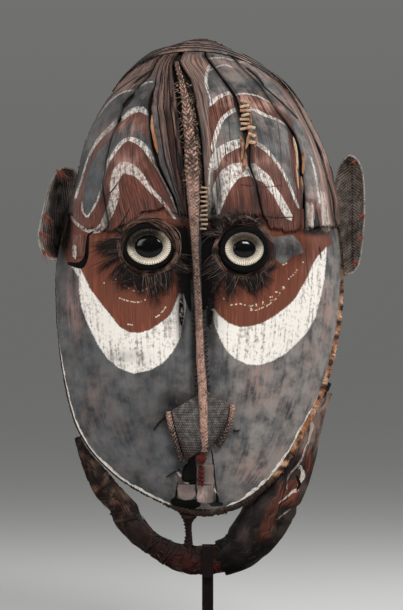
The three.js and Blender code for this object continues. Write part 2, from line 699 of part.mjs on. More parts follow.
function buildJaw() {
  const steps = 30;
  const line = curve(jawLoop.map(([x, y, z]) => [x, y, z]));
  const sizes = curve(jawLoop.map(([, , , wide, deep]) => [wide, deep, 0]));
  const path = Array.from({ length: steps + 1 }, (_, i) => line.getPoint(i / steps));
  add('jaw_loop', 'binding', tube(path, 8, (t) => {
    const p = sizes.getPoint(t);
    const wrap = Math.round(t * steps) % 2 ? 1 : 0.94;
    return [p.x * wrap, p.y * wrap];
  }));

  const shell = (extra) => (s, t) => {
    const along = mix(sheath.from, 0.99, t);
    const centre = line.getPoint(along);
    const heading = line.getTangent(along).setY(0).normalize();
    const outward = vec(heading.z, 0, -heading.x);
    const size = sizes.getPoint(along);
    const a = degrees(mix(-70, 190, s));
    const swell = rowAt(sheath.swell, t)[0] * Math.max(Math.cos(a), 0);
    return centre.clone().addScaledVector(outward, (size.x + swell + extra) * Math.cos(a))
      .add(vec(0, -(size.y + extra) * Math.sin(a), 0));
  };
  add('jaw_sheath', 'spathe', sheet(8, 10, shell(2.5 + sheath.thickness), shell(2.5)));

  const post = strut.map(([x, y, z]) => vec(x, y, z));
  add('mouth_strut', 'binding', tube(post, 6, (t) => {
    const size = strut[Math.round(t * (strut.length - 1))][3];
    return [size, Math.min(size, 7)];
  }));
}

// Ears: coiled scoops, open to the front, with red tassels on the outer edge

function buildEar(name, ear) {
  const outline = curve(ear.outline.map(([x, z]) => [x, 0, z]), true);
  const sides = 16;
  const edge = Array.from({ length: sides }, (_, i) => outline.getPoint(i / sides));
  const middle = edge.reduce((sum, p) => sum.add(p), vec(0, 0, 0)).divideScalar(sides);
  const [ix, iy, iz] = ear.inner;
  const plane = (x, z) => iy - earLean * ear.side * (x - ix) + ear.tilt * (z - iz);
  const ring = (f, depth, behind) => edge.map((p) => {
    const x = mix(middle.x, p.x, f);
    const z = mix(middle.z, p.z, f);
    return vec(x, plane(x, z) + depth + behind, z);
  });
  const bowl = (f) => earDepth * Math.pow(Math.max(1 - f * f, 0), 0.6);
  const inside = [0.2, 0.5, 0.75, 0.9].map((f) => ring(f, bowl(f / 0.9), 0));
  const outside = [1, 0.97, 0.8, 0.5, 0.2].map((f) => ring(f, bowl(f), 5));
  add(`ear_${name}`, 'basket', loft([...inside, ring(0.96, -1, 0), ...outside]));

  ear.tassels.forEach(([x, z], i) => {
    const root = vec(x, plane(x, z) - 3.5, z);
    const rings = [[0, 0, 3], [-2, -1, 5], [-7, -7, 6.5], [-11, -14, 3]].map(([dx, dz, r]) =>
      Array.from({ length: 5 }, (_, k) => {
        const a = (k / 5) * 2 * Math.PI;
        const out = ear.side * dx * 0.8 + r * Math.cos(a);
        return root.clone().add(vec(out, -r + r * Math.sin(a) * 0.4, dz * 0.8));
      }));
    add(`ear_tassel_${name}_${i + 1}`, 'tassel', loft(rings));
  });
}

buildStand();
buildHead();
buildBacking();
buildRidge();
buildLashings();
buildEye('left', eyes.left);
buildEye('right', eyes.right);
for (const [name, fan] of Object.entries(fans)) buildFeathers(name, fan);
buildNose();
buildRim();
buildJaw();
buildEar('left', ears.left);
buildEar('right', ears.right);

export default mask;
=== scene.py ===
# The looks of a tall gable mask of painted palm spathe on its stand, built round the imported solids.
# Sizes are in millimetres, x to the right, z up, seen from the front; makePiece turns them to metres.

import math

import bpy
import numpy as np
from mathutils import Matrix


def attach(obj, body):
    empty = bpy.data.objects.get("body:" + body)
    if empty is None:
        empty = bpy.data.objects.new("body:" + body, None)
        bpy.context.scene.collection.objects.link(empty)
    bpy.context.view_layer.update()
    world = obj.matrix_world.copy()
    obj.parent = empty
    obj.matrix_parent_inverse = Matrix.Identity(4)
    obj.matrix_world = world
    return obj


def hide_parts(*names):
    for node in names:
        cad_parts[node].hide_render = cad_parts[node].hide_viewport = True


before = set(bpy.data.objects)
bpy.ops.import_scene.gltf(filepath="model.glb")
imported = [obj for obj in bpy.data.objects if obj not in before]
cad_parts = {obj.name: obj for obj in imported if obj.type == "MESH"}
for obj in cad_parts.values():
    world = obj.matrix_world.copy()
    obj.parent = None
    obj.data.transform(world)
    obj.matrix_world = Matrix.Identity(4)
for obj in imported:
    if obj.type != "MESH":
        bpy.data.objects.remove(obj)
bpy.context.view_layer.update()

mm = 0.001
print("stage: frame loaded,", len(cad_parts), "nodes")

# Curves and noise


# Uniform Catmull-Rom: b + w/2 * (c - a + w * (2a - 5b + 4c - d + w * (3(b - c) + d - a)))
def catmull(points, t, closed=False):
    p = np.asarray(points, float)
    t = np.asarray(t, float)
    n = len(p)
    if closed:
        place = (t % 1.0) * n
        i = np.floor(place).astype(int) % n
        w = place - np.floor(place)
        a, b, c, d = (p[(i + k) % n] for k in (-1, 0, 1, 2))
    else:
        p = np.concatenate([[2 * p[0] - p[1]], p, [2 * p[-1] - p[-2]]])
        place = np.clip(t, 0, 1) * (n - 1)
        i = np.minimum(np.floor(place).astype(int), n - 2)
        w = place - i
        a, b, c, d = (p[i + k] for k in range(4))
    w = w.reshape(w.shape + (1,) * (p.ndim - 1))
    return b + 0.5 * w * (c - a + w * (2 * a - 5 * b + 4 * c - d + w * (3 * (b - c) + d - a)))


# Straight lines through the points: the row at share t of the list
def rowAt(points, t):
    p = np.asarray(points, float)
    place = np.clip(t, 0, 1) * (len(p) - 1)
    return np.stack([np.interp(place, np.arange(len(p)), p[:, k]) for k in range(p.shape[1])], -1)


latticeSize = 64
lattice = np.random.default_rng(7).random((10, latticeSize, latticeSize))


# Smooth noise from 0 to 1: random numbers on a lattice, blended between by w * w * (3 - 2w)
def noiseAt(u, v, layer=0):
    u, v = np.broadcast_arrays(np.asarray(u, float), np.asarray(v, float))
    i, j = np.floor(u).astype(int), np.floor(v).astype(int)
    a, b = u - i, v - j
    a, b = a * a * (3 - 2 * a), b * b * (3 - 2 * b)
    pick = lambda di, dj: lattice[layer, (i + di) % latticeSize, (j + dj) % latticeSize]
    return (pick(0, 0) * (1 - a) + pick(1, 0) * a) * (1 - b) + (pick(0, 1) * (1 - a) + pick(1, 1) * a) * b


# 0 below low, 1 above high, w * w * (3 - 2w) between
def smooth(value, low, high):
    w = np.clip((np.asarray(value, float) - low) / (high - low), 0, 1)
    return w * w * (3 - 2 * w)


# a + (b - a) * t
def mix(a, b, t):
    return a + (b - a) * t


# count numbers from 0 to 1 at even steps
def evenly(count):
    return np.linspace(0, 1, count)


# Arrays side by side as the last axis, each stretched to the same shape
def stacked(*arrays):
    return np.stack(np.broadcast_arrays(*arrays), -1)


# Each vector divided by its length
def unit(vectors):
    return vectors / np.maximum(np.linalg.norm(vectors, axis=-1, keepdims=True), 1e-9)


# The head's surface

head = {
    "right": [[59, -66, 298], [122, -58, 350], [166, -46, 421], [206, -30, 502], [234, -10, 615], [241, 10, 723],
    [234, 26, 801], [226, 46, 885], [200, 73, 961], [154, 106, 1041], [79, 136, 1098]],
    "left": [[-88, -66, 303], [-170, -58, 352], [-229, -46, 423], [-257, -30, 517], [-271, -10, 628],
    [-272, 10, 723], [-254, 26, 801], [-237, 46, 878], [-216, 73, 961], [-170, 106, 1043], [-101, 136, 1110]],
    "chin": [-15, -72, 282], "crown": [-8, 160, 1143],
    "front": [[-15, -72, 282], [-15, -88, 306], [-15, -106, 360], [-17, -120, 435], [-17, -130, 523],
    [-17, -137, 628], [-17, -141, 721], [-17, -142, 807], [-17, -122, 895], [-17, -70, 988], [-16, 13, 1071],
    [-12, 98, 1123], [-8, 160, 1143]], "fall": [1.7, 1.7, 1.7, 1.7, 1.7, 1.6, 1.45, 1.3, 1.2, 1.12, 1.08, 1.04, 1],
    "sheet": 4, "lining": 5.5, "seat": 1.5,
}
rimPoints = np.array([head["chin"], *head["right"], head["crown"], *head["left"][::-1]], float)
tableSize = 1501
tableV = evenly(tableSize)
sectionTable = np.concatenate([
    catmull(rimPoints, tableV / 2, True), catmull(rimPoints, (1 - tableV / 2) % 1, True),
    catmull(head["front"], tableV), catmull(np.array(head["fall"])[:, None], tableV)], axis=1)


# Right rim, left rim, front line and fall of the section at height v (0 chin, 1 crown), from the table
def sectionAt(v):
    place = np.clip(v, 0, 1) * (tableSize - 1)
    i = np.minimum(place.astype(int), tableSize - 2)
    row = mix(sectionTable[i], sectionTable[i + 1], (place - i)[..., None])
    return row[..., 0:3], row[..., 3:6], row[..., 6:9], row[..., 9]


# Middle of the rim + half its width * sin(angle) + (front - middle) * cos(angle) ^ fall
def headAt(angle, v):
    angle, v = np.broadcast_arrays(np.asarray(angle, float), np.asarray(v, float))
    right, left, front, fall = sectionAt(v)
    middle = (left + right) / 2
    bulge = np.maximum(np.cos(angle), 0) ** fall
    return middle + (right - left) / 2 * np.sin(angle)[..., None] + (front - middle) * bulge[..., None]


# The angle at height v seen at x from the front: sin(angle) = (x - middle - bulge) / half, eight times over
def angleAt(x, v):
    right, left, front, fall = sectionAt(v)
    middle = (left[..., 0] + right[..., 0]) / 2
    half = np.maximum((right[..., 0] - left[..., 0]) / 2, 1e-6)
    angle = np.zeros(np.broadcast(x, v).shape)
    for _ in range(8):
        bulge = np.maximum(np.cos(angle), 0) ** fall
        angle = np.arcsin(np.clip((x - middle - (front[..., 0] - middle) * bulge) / half, -1, 1))
    return angle


# Angle and height of the surface seen at x, z, by halving the range of v
def placeOf(x, z):
    x, z = np.broadcast_arrays(np.asarray(x, float), np.asarray(z, float))
    low, high = np.zeros(x.shape), np.ones(x.shape)
    for _ in range(22):
        v = (low + high) / 2
        below = headAt(angleAt(x, v), v)[..., 2] < z
        low, high = np.where(below, v, low), np.where(below, high, v)
    return angleAt(x, low), low


# Outward normal: the cross product of small steps across and up
def normalAt(angle, v):
    step = 0.004
    a, u = np.clip(angle, -1.5, 1.5), np.clip(v, 0.02, 0.97)
    return unit(np.cross(headAt(a + step, u) - headAt(a - step, u), headAt(a, u + step) - headAt(a, u - step)))


# The surface moved along its normal by lift
def lifted(angle, v, lift):
    return headAt(angle, v) + normalAt(angle, v) * np.asarray(lift, float)[..., None]


# The surface seen at x, z, moved straight forward by lift
def over(x, z, lift):
    x, z, lift = np.broadcast_arrays(np.asarray(x, float), np.asarray(z, float), np.asarray(lift, float))
    return np.stack([x, headAt(*placeOf(x, z))[..., 1] - lift, z], -1)


rimHoop = {"chin": 8, "right": 6.8, "left": 3.4, "crown": 5, "steps": 760, "sides": 14}


# The hoop's radius at height v; side is -1 left, +1 right
def hoopRadius(v, side):
    low = np.where(side > 0, mix(rimHoop["chin"], rimHoop["right"], smooth(v, 0, 0.1)),
        mix(rimHoop["chin"], rimHoop["left"], smooth(v, 0.03, 0.085)))
    return mix(low, rimHoop["crown"], smooth(v, 0.5, 0.62))


edgeV = evenly(160)
edgeTry = np.radians(np.linspace(50, 89.5, 160))
edgeTable = {}
for side in (-1, 1):    # the widest angle that stays this near the hoop, at each height
    rimSide = sectionAt(edgeV)[0 if side > 0 else 1]
    far = np.linalg.norm(headAt(side * edgeTry[None, :], edgeV[:, None]) - rimSide[:, None], axis=-1)
    fits = far >= (hoopRadius(edgeV, side) * 0.8)[:, None]
    edgeTable[side] = side * edgeTry[np.maximum(fits.sum(1) - 1, 0)]


# The face's last angle at height v, from the table
def edgeAngle(v, side):
    return np.interp(v, edgeV, edgeTable[side])


# Meshes

# Joins neighbours in a grid of points, one grid or several at once, round each row; a grid that isn't
# closed from its last row to its first gets a fan at both ends
def surface(points, uv=None, closed=False, fields=None):
    points = np.asarray(points, float)
    if points.ndim == 3:
        points = points[None]
        uv = None if uv is None else uv[None]
    count, rows, cols = points.shape[:3]
    if uv is None:
        uv = np.zeros((count, rows + 1, cols + 1, 2))
    r, c = np.meshgrid(np.arange(rows - (not closed)), np.arange(cols), indexing="ij")
    steps = ((0, 0), (0, 1), (1, 1), (1, 0))
    one = np.stack([((r + dr) % rows) * cols + (c + dc) % cols for dr, dc in steps], -1).reshape(-1, 4)
    first = (np.arange(count) * rows * cols)[:, None]
    quads = (one[None] + first[..., None]).reshape(-1, 4)
    quadUv = np.stack([uv[:, r + dr, c + dc] for dr, dc in steps], -2).reshape(-1, 4, 2)
    flat = points.reshape(-1, 3)
    made = {k: np.asarray(f, float).reshape(count * rows * cols, -1) for k, f in (fields or {}).items()}
    tris, triUv = np.zeros((0, 3), int), np.zeros((0, 3, 2))
    k = np.arange(cols)
    for row, pair in () if closed else ((0, ((k + 1) % cols, k)), (rows - 1, (k, (k + 1) % cols))):
        middle = len(flat) + np.arange(count)
        flat = np.concatenate([flat, points[:, row].mean(1)])
        rim = first[..., None] + row * cols + np.stack(pair, -1)[None]
        fan = np.concatenate([np.broadcast_to(middle[:, None, None], rim.shape[:2] + (1,)), rim], -1)
        tris = np.concatenate([tris, fan.reshape(-1, 3)])
        here = uv[:, row, :cols].mean(1)[:, None, None]
        triUv = np.concatenate([triUv, np.broadcast_to(here, fan.shape + (2,)).reshape(-1, 3, 2)])
        made = {n: np.concatenate([f, f[:count * rows * cols].reshape(count, rows, cols, -1)[:, row].mean(1)])
                for n, f in made.items()}
    return {"points": flat, "quads": quads, "quadUv": quadUv, "tris": tris, "triUv": triUv, "fields": made}


# A sheet with two faces and walls at its edges; keep says which cells are there
def shell(outer, inner, uv, fields=None, keep=None):
    rows, cols = outer.shape[:2]
    total = rows * cols
    keep = np.ones((rows - 1, cols - 1), bool) if keep is None else keep
    r, c = np.nonzero(keep)
    corner = [(r, c), (r, c + 1), (r + 1, c + 1), (r + 1, c)]
    ids = np.stack([a * cols + b for a, b in corner], -1)
    spots = np.stack([uv[a, b] for a, b in corner], -2)
    quads = [ids, ids[:, ::-1] + total]
    quadUv = [spots, spots[:, ::-1]]
    edge = np.pad(keep, 1)
    for k, (dr, dc) in enumerate(((-1, 0), (0, 1), (1, 0), (0, -1))):
        bare = ~edge[r + 1 + dr, c + 1 + dc]
        a, b = ids[bare, k], ids[bare, (k + 1) % 4]
        ua, ub = spots[bare, k], spots[bare, (k + 1) % 4]
        quads.append(np.stack([b, a, a + total, b + total], -1))
        quadUv.append(np.stack([ub, ua, ua, ub], -2))
    made = {}
    for name, f in (fields or {}).items():
        f = np.asarray(f, float).reshape(total, -1)
        back = f.copy()
        if name == "tint":
            back[:, 2] = 1
        made[name] = np.concatenate([f, back])
    return {"points": np.concatenate([outer.reshape(-1, 3), inner.reshape(-1, 3)]),
            "quads": np.concatenate(quads), "quadUv": np.concatenate(quadUv),
            "tris": np.zeros((0, 3), int), "triUv": np.zeros((0, 3, 2)), "fields": made}


# Angles of count points round a circle
def circle(count):
    return np.arange(count) / count * 2 * np.pi


# Unit vectors across a path and towards its back: along x y, and across x along
def crossings(along):
    across = unit(np.cross(along, [0, 1.0, 0]))
    return across, np.cross(across, along)


# A round or oval section carried along paths (paths, steps, 3): path + across * r * cos + deep * r * flat * sin
def tubes(paths, radius, sides=8, flat=1.0, closed=False, bump=None):
    paths = np.asarray(paths, float)
    if paths.ndim == 2:
        paths = paths[None]
    count, steps = paths.shape[:2]
    along = unit(np.roll(paths, -1, 1) - np.roll(paths, 1, 1) if closed else np.gradient(paths, axis=1))
    across, deep = crossings(along)
    a = circle(sides)
    size = np.broadcast_to(np.broadcast_to(np.asarray(radius, float), (count, steps))[..., None], (count, steps, sides))
    length = np.cumsum(np.linalg.norm(np.diff(paths, axis=1, prepend=paths[:, :1]), axis=-1), axis=1)
    if bump is not None:
        size = size + bump(length[..., None], a[None, None, :])
    ring = paths[:, :, None] + across[:, :, None] * (size * np.cos(a))[..., None] \
        + deep[:, :, None] * (size * flat * np.sin(a))[..., None]
    if closed:
        length = np.concatenate([length, length[:, -1:] + np.linalg.norm(paths[:, :1] - paths[:, -1:], axis=-1)], 1)
    return surface(ring, stacked(length[:, :, None], np.arange(sides + 1)[None, None] / sides), closed)


# Many small balls: rings of latitude round each centre, closed at both poles
def balls(centres, radius, rows=8, cols=12):
    up, turn = np.linspace(-0.46, 0.46, rows)[:, None] * np.pi, circle(cols)
    spot = stacked(np.cos(up) * np.cos(turn), np.cos(up) * np.sin(turn), np.sin(up))
    return surface(np.reshape(centres, (-1, 1, 1, 3)) + radius * spot[None])


# Six times the volume, as the sum of a . (b x c) over the triangles; if below zero the faces are turned
def turned(part):
    p, q, t = part["points"], part["quads"], part["tris"]
    faces = np.concatenate([q[:, [0, 1, 2]], q[:, [0, 2, 3]], t])
    a, b, c = (p[faces[:, k]] - p.mean(0) for k in range(3))
    if np.einsum("ij,ij->", a, np.cross(b, c)) < 0:
        part = dict(part, quads=q[:, ::-1], quadUv=part["quadUv"][:, ::-1], tris=t[:, ::-1],
            triUv=part["triUv"][:, ::-1])
    return part


# Tint of a part from its points: pale, dark and ruddy shares as a function of x and z
def tinted(part, rule):
    x, _, z = part["points"].T
    part["fields"] = {"tint": stacked(*rule(x, z), 0 * x)[:, :3]}
    return part


# One object from its parts: points in metres, a UV map "grain" and the named fields on the points
def makePiece(name, parts, look, replaced):
    parts = [turned(p) for p in (parts if isinstance(parts, list) else [parts])]
    starts = np.cumsum([0] + [len(p["points"]) for p in parts])
    points = np.concatenate([p["points"] for p in parts])
    quads = np.concatenate([p["quads"] + s for p, s in zip(parts, starts)])
    tris = np.concatenate([p["tris"] + s for p, s in zip(parts, starts)])
    used, place = np.unique(np.concatenate([quads.ravel(), tris.ravel()]), return_inverse=True)
    sizes = np.concatenate([np.full(len(quads), 4), np.full(len(tris), 3)])
    mesh = bpy.data.meshes.new(name)
    mesh.vertices.add(len(used))
    mesh.vertices.foreach_set("co", (points[used] * mm).ravel())
    mesh.loops.add(len(place))
    mesh.loops.foreach_set("vertex_index", place.ravel().astype(np.int32))
    mesh.polygons.add(len(sizes))
    mesh.polygons.foreach_set("loop_start", (np.cumsum(sizes) - sizes).astype(np.int32))
    mesh.polygons.foreach_set("use_smooth", np.full(len(sizes), True))
    mesh.update(calc_edges=True)
    uv = np.concatenate([p["quadUv"].reshape(-1, 2) for p in parts] + [p["triUv"].reshape(-1, 2) for p in parts])
    mesh.uv_layers.new(name="grain").data.foreach_set("uv", uv.ravel())
    for field in sorted({k for p in parts for k in p["fields"]}):
        width = max(p["fields"][field].shape[1] for p in parts if field in p["fields"])
        rows = [p["fields"].get(field, np.zeros((len(p["points"]), width))) for p in parts]
        values = np.concatenate(rows)[used]
        kind, socket = ("FLOAT_COLOR", "color") if width == 4 else ("FLOAT_VECTOR", "vector")
        mesh.attributes.new(field, kind, "POINT").data.foreach_set(socket, values.ravel())
    mesh.materials.append(looks[look])
    piece = bpy.data.objects.new(name, mesh)
    bpy.context.scene.collection.objects.link(piece)
    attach(piece, "root")
    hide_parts(replaced)
    return piece


# Material nodes


# sRGB 0 to 255 turned to linear: ((c + 0.055) / 1.055) ^ 2.4
def tone(red, green, blue):
    linear = [((c / 255 + 0.055) / 1.055) ** 2.4 if c > 10 else c / 255 / 12.92 for c in (red, green, blue)]
    return (*linear, 1.0)


making = {"tree": None, "material": None}    # where new nodes go


# A node's output; + - * / ** and abs() each add one Math node
class Wire:
    __init__ = lambda self, socket: setattr(self, "socket", socket)
    __add__ = lambda self, other: maths("ADD", self, other)
    __sub__ = lambda self, other: maths("SUBTRACT", self, other)
    __rsub__ = lambda self, other: maths("SUBTRACT", other, self)
    __mul__ = lambda self, other: maths("MULTIPLY", self, other)
    __truediv__ = lambda self, other: maths("DIVIDE", self, other)
    __pow__ = lambda self, other: maths("POWER", self, other)
    __abs__ = lambda self: maths("ABSOLUTE", self)


# Links a wire to a socket, or sets the socket to a number or an sRGB tone
def link(value, socket):
    if isinstance(value, Wire):
        making["tree"].links.new(value.socket, socket)
    else:
        socket.default_value = tone(*value) if isinstance(value, tuple) else value


# Adds a node, sets its options, then its inputs
def node(kind, inputs=None, **options):
    made = making["tree"].nodes.new("ShaderNode" + kind)
    for key, value in options.items():
        setattr(made, key, value)
    for key, value in (inputs or {}).items():
        link(value, made.inputs[key])
    return made


# One output of a new node
def wire(kind, output, inputs=None, **options):
    return Wire(node(kind, inputs, **options).outputs[output])


# One sum of a and b
def maths(how, a, b=0.0, clamp=False):
    return wire("Math", 0, {0: a, 1: b}, operation=how, use_clamp=clamp)


# The larger of a and b
def most(a, b):
    return maths("MAXIMUM", a, b)


# Rows of bumps: |sin(pi * value)|
def wave(value):
    return abs(maths("SINE", value * math.pi))


# value runs from low to high; the result from start to end, as w * w * (3 - 2w)
def ramp(value, low, high, start=0.0, end=1.0):
    return wire("MapRange", 0, {"Value": value, "From Min": low, "From Max": high, "To Min": start, "To Max": end},
        interpolation_type="SMOOTHSTEP")


# Colour a + (b - a) * amount
def blend(amount, a, b):
    return wire("Mix", 2, {0: amount, 6: a, 7: b}, data_type="RGBA")


# Cloudy noise, scale in cycles per millimetre
def noise(place, scale, detail=3.0, rough=0.55):
    return wire("TexNoise", "Fac", {"Vector": place, "Scale": scale, "Detail": detail, "Roughness": rough})


# A field that makePiece wrote on the points
def attribute(name, output):
    return wire("Attribute", output, attribute_type="GEOMETRY", attribute_name=name)


# The three numbers of a vector, or of a named field
def split(source):
    source = attribute(source, "Vector") if isinstance(source, str) else source
    return [Wire(s) for s in node("SeparateXYZ", {0: source}).outputs]


# Object coordinates in millimetres
def placeMm():
    return wire("VectorMath", 0, {0: wire("TexCoord", "Object"), "Scale": 1000.0}, operation="SCALE")


# The piece's own UV map
def grainUv():
    return wire("UVMap", 0, uv_map="grain")


# A node group; an input is a number to start from or a kind of socket, an output is a number
def newGroup(name, inputs, outputs):
    group = making["tree"] = bpy.data.node_groups.new(name, "ShaderNodeTree")
    for label, value in inputs.items():
        kind = value if isinstance(value, str) else "Float"
        made = group.interface.new_socket(name=label, in_out="INPUT", socket_type="NodeSocket" + kind)
        if kind == "Float":
            made.default_value = value
    for label in outputs:
        group.interface.new_socket(name=label, in_out="OUTPUT", socket_type="NodeSocketFloat")
    given = {s.name: Wire(s) for s in group.nodes.new("NodeGroupInput").outputs if s.name}
    return group, given, group.nodes.new("NodeGroupOutput").inputs


# The outputs of a group placed in the tree with these inputs
def useGroup(group, **inputs):
    return {s.name: Wire(s) for s in node("Group", inputs, node_tree=group).outputs}


# Grain: noise stretched along the fibres; the first UV number runs across them, the second along
grainGroup, given, result = newGroup("fibreGrain", {"Place": "Vector", "Across": 1.4, "Along": 45.0},
    ("Lines", "Broad"))
halves = split(given["Place"])
for label, share, detail in (("Lines", 1.0, 4.0), ("Broad", 5.0, 2.0)):
    spot = {0: halves[0] / (given["Across"] * share), 1: halves[1] / given["Along"], 2: share}
    link(noise(wire("CombineXYZ", 0, spot), 1.0, detail, 0.6), result[label])

# Frayed edge: a distance in mm, positive inside, moved by noise and cut off over a short width
edgeGroup, given, result = newGroup("frayedEdge", {"Inside": 0.0, "Place": "Vector", "Fray": 3.0, "Width": 1.2},
    ("Mask",))
shift = (noise(given["Place"], 0.35, 4.0, 0.65) - 0.5) * given["Fray"]
link(ramp((given["Inside"] + shift) / given["Width"], -0.5, 0.5), result["Mask"])

# Stroke: the colour attribute holds signed distance, distance, half width and strength of the nearest stroke
strokeGroup, given, result = newGroup("paintStroke",
    {"Stroke": "Color", "Strength": 1.0, "Place": "Vector", "Fray": 2.0}, ("Mask",))
side, away, half = [Wire(s) for s in node("SeparateColor", {0: given["Stroke"]}).outputs]
frayed = useGroup(edgeGroup, Inside=half - most(abs(side), away - 2.5), Place=given["Place"], Fray=given["Fray"])
link(frayed["Mask"] * given["Strength"], result["Mask"])

# Dust: more on faces that look up, broken by noise
dustGroup, given, result = newGroup("settledDust", {"Place": "Vector", "Amount": 0.4}, ("Mask",))
facing = ramp(split(wire("NewGeometry", "Normal"))[2], -0.3, 1.0, 0.25, 1.0)
link(ramp(noise(given["Place"], 0.12, 5.0), 0.35, 0.7) * facing * given["Amount"], result["Mask"])

# Chevrons of strands round a cord; UV x runs along it in mm, UV y once round
twistGroup, given, result = newGroup("twistedFibre", {"Place": "Vector", "Pitch": 6.0, "Chevron": 0.0},
    ("Height", "Number"))
along, turn = split(given["Place"])[:2]
phase = along / given["Pitch"] + abs(maths("COSINE", turn * (2 * math.pi))) * given["Chevron"]
link(wave(phase) ** 0.6, result["Height"])
link(maths("FLOOR", phase), result["Number"])


# Starts an empty material
def newMaterial(name):
    material = making["material"] = bpy.data.materials.new(name)
    material.use_nodes = True
    making["tree"] = material.node_tree
    material.node_tree.nodes.clear()


# The shader at the end: colour, roughness and a bump of so many millimetres
def finishMaterial(colour, roughness, height=None, bumpMm=0.5, specular=0.2):
    base = node("BsdfPrincipled", {"Base Color": colour, "Roughness": roughness, "Specular IOR Level": specular})
    if height is not None:
        link(wire("Bump", 0, {"Height": height, "Strength": 1.0, "Distance": bumpMm * mm}), base.inputs["Normal"])
    link(Wire(base.outputs[0]), node("OutputMaterial").inputs[0])
    return making["material"]


paintTones = {
    "grey": (76, 79, 83), "greyDark": (46, 46, 49), "greyPale": (134, 130, 126),
    "red": (112, 66, 52), "redDark": (66, 40, 33), "redBright": (148, 81, 56), "brown": (126, 106, 96),
    "brownDark": (50, 38, 33), "pink": (158, 122, 112), "white": (232, 226, 218), "whiteWorn": (142, 134, 128),
    "cream": (224, 208, 184), "bare": (62, 46, 38), "dark": (6, 4, 4),
}
tabTones = dict(paintTones, grey=(116, 103, 99), greyDark=(88, 75, 71), greyPale=(146, 128, 122), pink=(198, 172, 160))
foreheadTones = dict(paintTones, grey=(74, 79, 81), greyDark=(36, 36, 38), greyPale=(122, 114, 110),
    red=(98, 54, 42), redDark=(44, 25, 21), redBright=(134, 70, 50), pink=(156, 120, 108), brown=(136, 112, 102),
    brownDark=(36, 26, 23))
ribbedTones = dict(foreheadTones, grey=(86, 90, 91), greyDark=(46, 45, 46), greyPale=(142, 134, 128),
    pink=(176, 138, 125), brown=(148, 125, 114), brownDark=(50, 38, 34))
sheathTones = dict(paintTones, grey=(37, 31, 29), greyDark=(14, 10, 9), greyPale=(72, 61, 56), red=(96, 50, 36),
    redDark=(40, 22, 18), redBright=(124, 62, 40), pink=(138, 116, 108), white=(214, 200, 190))
# Grain sizes in mm, shares from 0 to 1, and pairs of noise values between which an effect comes in
paintLook = {"tones": paintTones, "across": 1.6, "along": 50.0, "redStreaks": 0.6, "pale": (0.5, 0.5),
    "smoke": (0.55, 0.9), "redFrom": 0.32, "wearLines": 0.5, "wear": (0.45, 0.8), "fray": 3.0, "slits": 0.6,
    "gloss": 0.5, "relief": 0.6, "bump": 0.9, "torn": (0.3, 0.5), "specular": 0.2}


